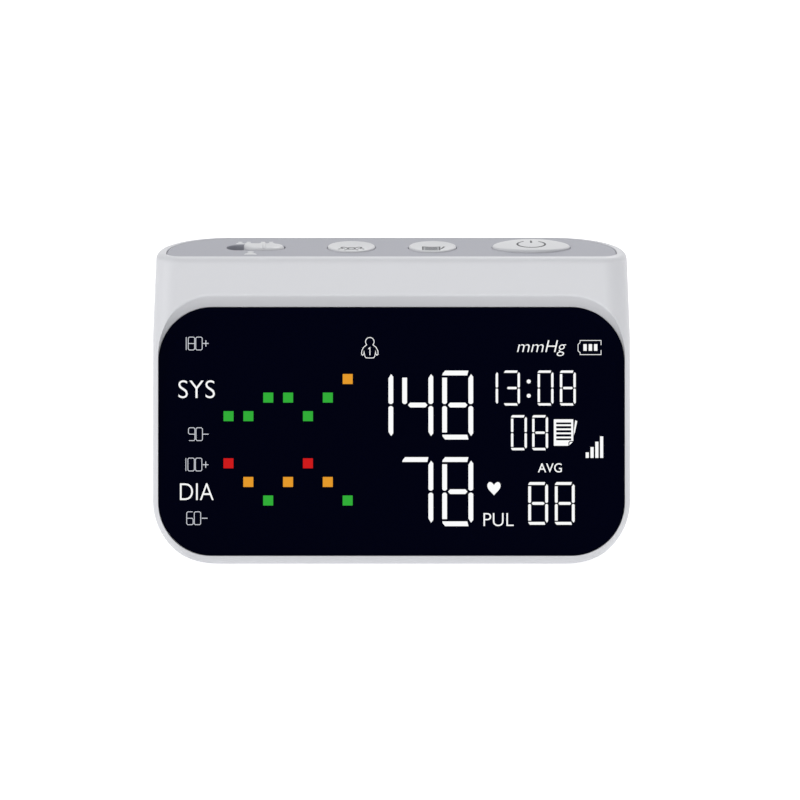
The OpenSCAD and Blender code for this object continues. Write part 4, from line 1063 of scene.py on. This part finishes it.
white_ink = ink("white_ink", (0.80, 0.81, 0.83))
slot_signs = small_person(-38.4, 1.95, 1.5)
for x in (-41.6, -39.3, -35.4, -33.1):
    slot_signs += small_person(x, 14.6, 1.05)
slot_print = inked("slot_print", slot_signs, lambda x, y, lift: Vector((x, y, plate_hi.z + lift)),
                   ink_low, ink_high)
coat(slot_print, white_ink)
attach(slot_print, "root")

# The battery door: a flush white ABS lid. It tilts on two hooks at its lower edge, and a
# sprung latch between two slits holds its upper edge; ribs give the finger a grip.
door_lo, door_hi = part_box("battery_door")
door_t = 1.8 * mm
lid_soft, latch_soft = 0.25 * mm, 0.2 * mm
latch_step = 0.4 * mm
latch_edge_r = 0.6 * mm
hook_half = 2.5 * mm
hook_t = 1.1 * mm
groove_r = 1.1 * mm
groove_y = back_y + 0.75 * mm
slit_x, slit_half, slit_l = 7.8 * mm, 0.4 * mm, 12 * mm
door_lid = drawn("door_lid", door_points, back_y - door_t, back_y, -lid_soft, axis=1)
latch = drawn("latch", lambda grow: round_rect(
    bay_x - latch_half - grow, bay_x + latch_half + grow, door_z1 - overrun, door_hi.z + grow,
    (latch_edge_r,) * 4, 5), back_y - door_t, back_y - latch_step, -latch_soft, axis=1)
hooks = []
for side in (-1, 1):
    x = bay_x + side * cell_pitch
    hook_top = door_z0 + 1.2 * mm
    hooks.append(block("hook", (x - hook_half, door_lo.y, door_z0 + 0.1 * mm),
                       (x + hook_half, back_y - door_t + 0.05 * mm, hook_top)))
    hooks.append(block("hook", (x - hook_half, door_lo.y, door_lo.z),
                       (x + hook_half, door_lo.y + hook_t, hook_top)))
cut(door_lid, latch, *hooks, operation="UNION")
slits = [block("slit", (bay_x + side * slit_x - slit_half, back_y - 2 * door_t, door_z1 - slit_l),
               (bay_x + side * slit_x + slit_half, back_y + overrun, door_z1 + overrun))
         for side in (-1, 1)]
grooves = []
groove_half = latch_half - latch_edge_r
for i in range(5):
    z = door_z1 - (6 + 2 * i) * mm
    grooves.append(rod("groove", (bay_x - groove_half, groove_y, z), (bay_x + groove_half, groove_y, z),
                       groove_r))
cut(door_lid, *slits, *grooves)
smooth(door_lid)
coat(door_lid, housing_white)
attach(door_lid, "door")
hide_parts("battery_door")

# The batteries: four standard round cells in a printed wrap, every other one upside down.
# The steel cap and the bare rim show at one end, and a flat steel base at the other.
cap_r = 2.7 * mm
cap_h = 1.2 * mm
rim_in = 0.2 * mm
wrap_soft = 0.8 * mm


def turned(name, profile, places, steps=56):
    """Round parts spun from a half profile of (radius, height); each place has a turn of its own."""
    bm = bmesh.new()
    for place in places:
        verts = [bmesh.ops.create_vert(bm, co=(r, 0, h))["vert"][0] for r, h in profile]
        edges = [bmesh.ops.contextual_create(bm, geom=pair)["edges"][0] for pair in zip(verts, verts[1:])]
        bmesh.ops.spin(bm, geom=verts + edges, cent=(0, 0, 0), axis=(0, 0, 1), angle=2 * pi, steps=steps,
                       use_merge=True)
        grown, queue = set(verts), list(verts)
        while queue:
            for edge in queue.pop().link_edges:
                for vert in edge.verts:
                    if vert not in grown:
                        grown.add(vert)
                        queue.append(vert)
        bmesh.ops.transform(bm, matrix=place, verts=list(grown))
    bmesh.ops.remove_doubles(bm, verts=bm.verts, dist=0.0005 * mm)
    bmesh.ops.recalc_face_normals(bm, faces=bm.faces)
    return piece(name, bm)


def cell_wrap(name, flat_z, cap_z):
    """A cell's wrap: dark with one silver band near its cap, under a clear gloss."""
    material, tree, skin = paint(name, {"Coat Weight": 0.5, "Coat Roughness": 0.08, "Metallic": 0.8})
    height = add_node(tree, "SeparateXYZ", {"Vector": own_place(tree)}).outputs["Z"]
    along = add_node(tree, "MapRange", {"Value": height, "From Min": flat_z, "From Max": cap_z})
    bands = add_node(tree, "ValToRGB", {"Fac": along.outputs["Result"]})
    ramp = bands.color_ramp
    ramp.interpolation = "CONSTANT"
    for at, colour in ((0.0, (0.55, 0.56, 0.58)), (0.035, (0.016, 0.019, 0.024)),
                       (0.70, (0.36, 0.39, 0.42)), (0.955, (0.6, 0.6, 0.6))):
        ramp.elements.new(at).color = (*colour, 1)
    ramp.elements.remove(ramp.elements[0])
    ramp.elements.remove(ramp.elements[-1])
    tree.links.new(bands.outputs["Color"], skin["Base Color"])
    ranged(tree, cloud(tree, 400), 0.25, 0.4, skin["Roughness"])
    return material


cell_l = cell_hi.z - cell_lo.z
can_l = cell_l - cap_h
cell_profile = [(0, 0.15 * mm), (4.6 * mm, 0.15 * mm), (4.9 * mm, 0), (cell_r - wrap_soft, 0)]
cell_profile += [(cell_r - left, inset) for left, inset in rounding(wrap_soft)]
cell_profile += [(cell_r - inset, can_l - left) for left, inset in rounding(wrap_soft, 0, 30, 60, 90)]
cell_profile += [(5.6 * mm, can_l), (5.3 * mm, can_l - rim_in), (cap_r + 0.1 * mm, can_l - rim_in),
                 (cap_r, cell_l - 0.3 * mm), (cap_r - 0.3 * mm, cell_l), (0, cell_l)]
for way, first, flat_z, cap_z in (("up", 0, cell_lo.z, cell_hi.z), ("down", 1, cell_hi.z, cell_lo.z)):
    turn = Matrix.Rotation(pi if way == "down" else 0, 4, "X")
    places = [Matrix.Translation((bay_x + (i - 1.5) * cell_pitch, cell_y, flat_z)) @ turn
              for i in (first, first + 2)]
    cells = turned("cells_" + way, cell_profile, places)
    smooth(cells)
    coat(cells, cell_wrap("cell_wrap_" + way, flat_z, cap_z))
    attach(cells, "root")
    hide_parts("batteries")

# The battery contacts and springs: plated spring steel. Flat plates are pressed into the bay's
# floor and roof; a nub meets each cell's cap, and a conical coil pushes on its flat end.


def plated_steel(name, colour, roughness, stretch=(1, 1, 1)):
    """Plated steel: fine rolling lines, with a gloss that varies along them."""
    material, tree, skin = paint(name, {"Metallic": 1})
    along = add_node(tree, "Mapping", {"Vector": own_place(tree), "Scale": stretch}).outputs["Vector"]
    noise = add_node(tree, "TexNoise", {"Vector": along, "Scale": 1500, "Detail": 4})
    rolling = noise.outputs["Fac"]
    tinted(tree, rolling, shade(colour, 0.88), colour, skin["Base Color"])
    ranged(tree, rolling, roughness - 0.08, roughness + 0.08, skin["Roughness"])
    embossed(tree, rolling, 0.08, 0.02 * mm, skin)
    return material


def wound(name, paths, r, sides=10):
    """Round wire of radius r along each path of points."""
    bm = bmesh.new()
    circle = [Vector((x, y, 0)) for x, y in circle_points(0, 0, r, sides)]
    for path in paths:
        rings = []
        for before, point, after in zip(path[:1] + path, path, path[1:] + path[-1:]):
            turn = (after - before).to_track_quat("Z", "X")
            rings.append(add_ring(bm, [point + turn @ spot for spot in circle]))
        bridge(bm, rings)
    return piece(name, bm)


contact_steel = plated_steel("contact_steel", (0.62, 0.63, 0.65), 0.24, (1, 1, 0.08))
contact_t = 0.3 * mm
contact_half = 4.5 * mm
contact_r = 0.8 * mm
contact_sink = 0.05 * mm
coil_wire = 0.2 * mm
coil_h = 0.95 * mm
coil_wide, coil_narrow = 3.2 * mm, 2.0 * mm
coil_turns, coil_steps = 2.25, 60
nub_r, nub_top_r, nub_h = 2.6 * mm, 1.7 * mm, 0.98 * mm
plates, nubs, coils = [], [], []
for i in range(4):
    x = bay_x + (i - 1.5) * cell_pitch
    for low_end in (True, False):
        way = 1 if low_end else -1
        z = contact_lo.z if low_end else contact_hi.z - contact_t
        face = z + contact_t if low_end else z
        plates.append(drawn("contact", lambda grow: round_rect(
            x - contact_half - grow, x + contact_half + grow, contact_lo.y - grow, contact_hi.y + grow,
            (contact_r,) * 4, 6), z, z + contact_t))
        if low_end == (i % 2 == 1):
            stand = Matrix.Translation((x, cell_y, face - way * contact_sink))
            nubs.append(stand if low_end else stand @ Matrix.Rotation(pi, 4, "X"))
            continue
        coil = []
        for step in range(coil_steps + 1):
            share = step / coil_steps
            a, r = 2 * pi * coil_turns * share, coil_wide + (coil_narrow - coil_wide) * share
            rise = coil_wire + (coil_h - 2 * coil_wire) * share
            coil.append(Vector((x + r * cos(a), cell_y + r * sin(a), face + way * rise)))
        coils.append(coil)
nub_profile = [(0, 0), *[(nub_top_r + (nub_r - nub_top_r) * cos(radians(a)), nub_h * sin(radians(a)))
                         for a in (0, 25, 50, 75, 90)], (0, nub_h)]
contact_plates = cut(plates[0], *plates[1:], turned("contact_nubs", nub_profile, nubs, 32),
                     operation="UNION")
contact_plates.name = "contact_plates"
smooth(contact_plates)
coat(contact_plates, contact_steel)
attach(contact_plates, "root")
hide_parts("battery_contacts")
contact_coils = wound("contact_coils", coils, coil_wire)
smooth(contact_coils, 60)
coat(contact_coils, contact_steel)
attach(contact_coils, "root")
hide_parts("battery_springs")

# The rubber feet: four round pads of dark grey rubber with a soft lower edge and a shallow
# cup in the middle, each glued into a pocket in the base.


def rubber(name, colour, roughness):
    """Moulded rubber: matt, with fine dust and a slightly uneven skin."""
    material, tree, skin = paint(name, {"Specular IOR Level": 0.3})
    dust = cloud(tree, 900, 5)
    tinted(tree, dust, shade(colour, 0.8), shade(colour, 1.15), skin["Base Color"])
    ranged(tree, dust, roughness - 0.08, roughness + 0.08, skin["Roughness"])
    embossed(tree, dust, 0.25, 0.05 * mm, skin)
    return material


foot_soft = 0.35 * mm
foot_profile = [(0, 0.3 * mm), (2.5 * mm, 0.3 * mm), (2.75 * mm, 0.2 * mm), (2.95 * mm, 0)]
foot_profile += [(foot_r - left, inset) for left, inset in rounding(foot_soft, 0, 30, 60, 90)]
foot_profile += [(foot_r, foot_hi.z), (0, foot_hi.z)]
foot_pads = turned("foot_pads", foot_profile,
                   [Matrix.Translation((s * (foot_hi.x - foot_r), y, 0)) for s in (-1, 1)
                    for y in (foot_lo.y + foot_r, foot_hi.y - foot_r)])
smooth(foot_pads)
coat(foot_pads, rubber("rubber_grey", (0.075, 0.075, 0.08), 0.75))
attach(foot_pads, "root")
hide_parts("rubber_feet")

# The hose socket: a grey nylon barrel through the left side with a soft mouth. A flange seats
# against the wall from within, and a turned-up nozzle carries the air on.
socket_grey = satin_plastic("socket_grey", (0.50, 0.52, 0.55), 0.4)
barrel_profile = [(0, 9.5), (2.8, 9.5), (2.8, 0.5), (2.87, 0.24), (3.02, 0.07), (3.2, 0), (4.2, 0),
                  (4.35, 0.04), (4.46, 0.15), (4.5, 0.3), (4.5, 2.05), (5.7, 2.05), (5.7, 3.4),
                  (4.5, 3.4), (4.5, 12.9), (0, 12.9)]
barrel_turn = Matrix.Translation((socket_lo.x, socket_y, socket_z)) @ Matrix.Rotation(pi / 2, 4, "Y")
hose_socket = turned("hose_socket", [(r * mm, h * mm) for r, h in barrel_profile], [barrel_turn])
nozzle_at = 10.8 * mm
nozzle_foot = Vector((socket_lo.x + nozzle_at, socket_y, socket_z))
nozzle_way = Vector((-0.6, 8.79, 25.5)).normalized()
nozzle = turned("nozzle", [(0, 0), (1.5 * mm, 0), (1.5 * mm, 6.9 * mm), (1.62 * mm, 7.3 * mm),
                           (1.3 * mm, 8.1 * mm), (0.8 * mm, 8.1 * mm), (0.8 * mm, 5 * mm), (0, 5 * mm)],
                [Matrix.Translation(nozzle_foot) @ nozzle_way.to_track_quat("Z", "X").to_matrix().to_4x4()])
cut(hose_socket, nozzle, operation="UNION")
smooth(hose_socket)
coat(hose_socket, socket_grey)
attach(hose_socket, "root")
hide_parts("air_socket")

# The power socket: a folded steel shell with a rolled mouth, flush with the right side, and a
# black tongue with gilt contacts inside it.
shell_wall = 0.4 * mm
shell_back_t = 1 * mm
mouth_soft = 0.18 * mm
shell_steps = [(port_lo.x, 0), (port_hi.x - mouth_soft, 0)]
shell_steps += [(port_hi.x - left, -inset) for left, inset in rounding(mouth_soft, 45, 90)]
shell_steps += [(port_hi.x - inset, left - shell_wall) for left, inset in rounding(mouth_soft, 0, 45, 90)]
shell_steps += [(port_lo.x + shell_back_t, -shell_wall)]
port_shell = layered("port_shell", [[(x, y, z) for y, z in port_points(grow)] for x, grow in shell_steps])
smooth(port_shell)
coat(port_shell, plated_steel("port_steel", (0.60, 0.61, 0.63), 0.28, (0.1, 1, 1)))
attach(port_shell, "root")
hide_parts("power_socket")

tongue_half_z, tongue_half_y = 3.1 * mm, 0.35 * mm
tongue_rings = []
for x, grow in ((port_lo.x + 0.6 * mm, 0), (port_hi.x - 0.75 * mm, 0), (port_hi.x - 0.6 * mm, -0.15 * mm)):
    outline = round_rect(port_y - tongue_half_y - grow, port_y + tongue_half_y + grow,
                         port_z - tongue_half_z - grow, port_z + tongue_half_z + grow, (0.1 * mm,) * 4, 3)
    tongue_rings.append([(x, y, z) for y, z in outline])
tongue_black = satin_plastic("tongue_black", (0.02, 0.02, 0.022), 0.45)
port_tongue = layered("port_tongue", tongue_rings)
smooth(port_tongue)
coat(port_tongue, tongue_black)
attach(port_tongue, "root")
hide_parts("power_socket")

gilt = plated_steel("gilt_contacts", (0.75, 0.55, 0.22), 0.25, (0.1, 1, 1))
strip_pitch, strip_half, strip_half_t = 0.5 * mm, 0.15 * mm, 0.04 * mm
contact_strips = []
for side in (-1, 1):
    y = port_y + side * tongue_half_y
    for i in range(-5, 6):
        z = port_z + strip_pitch * i
        contact_strips.append(block("strip", (port_lo.x + 2 * mm, y - strip_half_t, z - strip_half),
                                    (port_hi.x - 1.1 * mm, y + strip_half_t, z + strip_half)))
port_contacts = cut(contact_strips[0], *contact_strips[1:], operation="UNION")
port_contacts.name = "port_contacts"
coat(port_contacts, gilt)
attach(port_contacts, "root")

# The housing screws: four plated self-tapping screws with a pan head and a cross recess. They
# are driven from behind, at the bottom of the wells, into bosses of the front housing.
screw_lo, screw_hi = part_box("housing_screws")
shank_r = 1.45 * mm
root_r = shank_r * 0.8
tip_l = 1.6 * mm
shank_l = screw_seat_y - screw_lo.y
head_h = screw_hi.y - screw_seat_y
head_edge_h = 1.1 * mm
thread_pitch = 0.85 * mm
cross_long, cross_wide = 1.5 * mm, 0.4 * mm
screw_profile = [(0, 0), (0.4 * mm, 0), (root_r, tip_l)]
for i in range(7):
    z = tip_l + thread_pitch * i
    screw_profile += [(shank_r, z + 0.3 * mm), (root_r, z + 0.7 * mm)]
screw_profile += [(root_r, shank_l), (screw_head_r, shank_l)]
for a in (90, 70, 50, 32, 16):
    screw_profile.append((screw_head_r * sin(radians(a)) ** 0.45,
                          shank_l + head_edge_h + (head_h - head_edge_h) * cos(radians(a))))
screw_profile.append((0, shank_l + head_h))
screw_places = [(s * screw_x, screw_lo.y, z) for s in (-1, 1) for z in screw_heights]
screw_turn = Matrix.Rotation(-pi / 2, 4, "X")
case_screws = turned("case_screws", screw_profile,
                     [Matrix.Translation(place) @ screw_turn for place in screw_places], 40)
recesses = []
for x, _, z in screw_places:
    for half_x, half_z in ((cross_long, cross_wide), (cross_wide, cross_long)):
        recesses.append(block("recess", (x - half_x, screw_hi.y - overrun, z - half_z),
                              (x + half_x, screw_hi.y + overrun, z + half_z)))
cut(case_screws, *recesses)
smooth(case_screws)
coat(case_screws, plated_steel("screw_steel", (0.52, 0.53, 0.55), 0.3))
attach(case_screws, "root")
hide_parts("housing_screws")

# The display panel: its glass, dark when unlit, over a thicker light guide. It drops into the
# white tray, which holds it to the window's back.


def finished(name, node, material, soft=0.0, body="root"):
    """A finished copy of a plain solid: flat faces made whole, edges softened, rounds made smooth."""
    bm = bmesh.new()
    bm.from_mesh(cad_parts[node].data)
    bmesh.ops.remove_doubles(bm, verts=bm.verts, dist=0.001 * mm)
    bmesh.ops.dissolve_limit(bm, angle_limit=radians(1), verts=bm.verts, edges=bm.edges)
    if soft:
        sharp = [e for e in bm.edges if e.is_convex and e.calc_face_angle(0) > radians(60)]
        bmesh.ops.bevel(bm, geom=sharp, offset=soft, offset_type="OFFSET", affect="EDGES", segments=2,
                        profile=0.5, material=-1, clamp_overlap=True)
    made = piece(name, bm)
    smooth(made)
    coat(made, material)
    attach(made, body)
    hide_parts(node)


panel_dark = satin_plastic("panel_dark", (0.006, 0.008, 0.016), 0.14, grain=2, bump=0.005)
finished("panel_glass", "display_panel", panel_dark, 0.12 * mm)

# The display frame: a white moulded tray behind the panel, bonded to the window's ledge. The
# main board is screwed to its four posts.
frame_white = satin_plastic("frame_white", (0.76, 0.76, 0.73), 0.45)
finished("panel_tray", "display_frame", frame_white)

# The boards: glass fibre with green solder mask over copper tracks, and tinned round pads. One
# is screwed to the tray, one to posts under the deck, and a small one holds the power socket.


def solder_mask(name):
    """Green mask: darker over bare board, lighter over tracks, with tinned pads."""
    material, tree, skin = paint(name, {"Coat Weight": 0.3, "Coat Roughness": 0.15})
    place = own_place(tree)
    turn = add_node(tree, "Mapping", {"Vector": place, "Rotation": (pi / 2, 0, 0)})
    tracks = add_node(tree, "TexBrick", {
        "Vector": turn.outputs["Vector"], "Scale": 170, "Mortar Size": 0.07,
        "Color1": (0.008, 0.060, 0.024, 1), "Color2": (0.012, 0.085, 0.034, 1),
        "Mortar": (0.035, 0.20, 0.085, 1)}).outputs
    dots = add_node(tree, "TexVoronoi", {"Vector": place, "Scale": 260}).outputs["Distance"]
    pads = add_node(tree, "MapRange", {"Value": dots, "From Min": 0.16, "From Max": 0.13}).outputs["Result"]
    tone = add_node(tree, "Mix", {"Factor": pads, "A": tracks["Color"], "B": (0.60, 0.60, 0.56, 1)},
                    data_type="RGBA")
    tree.links.new(tone.outputs["Result"], skin["Base Color"])
    tree.links.new(pads, skin["Metallic"])
    ranged(tree, tracks["Fac"], 0.45, 0.3, skin["Roughness"])
    embossed(tree, tracks["Fac"], 0.3, 0.04 * mm, skin)
    return material


board_green = solder_mask("board_green")
finished("logic_board", "main_board", board_green)
finished("key_board", "button_board", board_green)
finished("port_board", "socket_board", board_green, 0.1 * mm)

# The parts on the main board: moulded black chips, a radio under a steel can, a round sounder
# and a pressure sensor with a nozzle. All are soldered on.
chip_black = satin_plastic("chip_black", (0.018, 0.018, 0.02), 0.5)
can_steel = plated_steel("can_steel", (0.58, 0.59, 0.6), 0.3)
sensor_white = satin_plastic("sensor_white", (0.72, 0.71, 0.68), 0.5)
finished("chips", "board_chips", chip_black, 0.12 * mm)
finished("radio_can", "radio_module", can_steel, 0.1 * mm)
finished("sounder", "buzzer", chip_black)
finished("sensor", "pressure_sensor", sensor_white)

# The switches on the button board: three push switches with round plungers, and a slide switch
# with a steel cover. The knob's fork carries its black lever along.
finished("push_bodies", "push_switches", chip_black)
finished("slide_cover", "slide_switch", can_steel)
finished("slide_lever", "switch_lever", chip_black, 0.15 * mm, "slider")

# The air pump: a steel motor can in a black rubber cup, with a clamped head of three black
# nylon layers on top. The cup keeps its shake out of the housing.
pump_black = satin_plastic("pump_black", (0.028, 0.028, 0.031), 0.5)
motor_steel = plated_steel("motor_steel", (0.55, 0.56, 0.58), 0.32, (1, 1, 0.06))
finished("motor_can", "pump_motor", motor_steel)
finished("pump_layers", "pump_head", pump_black)
finished("motor_cup", "pump_cushion", rubber("cup_rubber", (0.05, 0.05, 0.053), 0.7))

# The air line: a steel release valve and a black nylon manifold, joined to the socket, the pump
# and the sensor by short sleeves of clear silicone pushed over their nozzles.


def silicone(name, colour):
    """Clear silicone: lets some light through, with a soft waxy skin."""
    material, tree, skin = paint(name, {"Transmission Weight": 0.45, "IOR": 1.41})
    haze = cloud(tree, 350)
    tinted(tree, haze, shade(colour, 0.9), colour, skin["Base Color"])
    ranged(tree, haze, 0.3, 0.45, skin["Roughness"])
    return material


finished("valve", "release_valve", plated_steel("valve_steel", (0.42, 0.43, 0.46), 0.35))
finished("manifold", "air_manifold", pump_black)
finished("sleeves", "air_tubes", silicone("tube_rubber", (0.78, 0.79, 0.76)))

# The ribbons: amber film with flat copper tracks inside. One passes through the tray to the
# panel, and the other drops from the button board to the main board.
ribbon_amber, ribbon_tree, ribbon_skin = paint("ribbon_amber", {"Coat Weight": 0.6, "Coat Roughness": 0.1})
ribbon_waves = add_node(ribbon_tree, "TexWave", {"Vector": own_place(ribbon_tree), "Scale": 320},
                        bands_direction="X")
ribbon_lines = ribbon_waves.outputs["Fac"]
tinted(ribbon_tree, ribbon_lines, (0.50, 0.24, 0.045), (0.32, 0.12, 0.022), ribbon_skin["Base Color"])
ranged(ribbon_tree, ribbon_lines, 0.3, 0.42, ribbon_skin["Roughness"])
finished("ribbons", "ribbon_cables", ribbon_amber)

# The board screws: small plated screws that hold the main board to the tray and the button
# board to its posts.
small_screw_steel = plated_steel("small_screw_steel", (0.55, 0.56, 0.58), 0.3)
finished("small_screws", "board_screws", small_screw_steel)
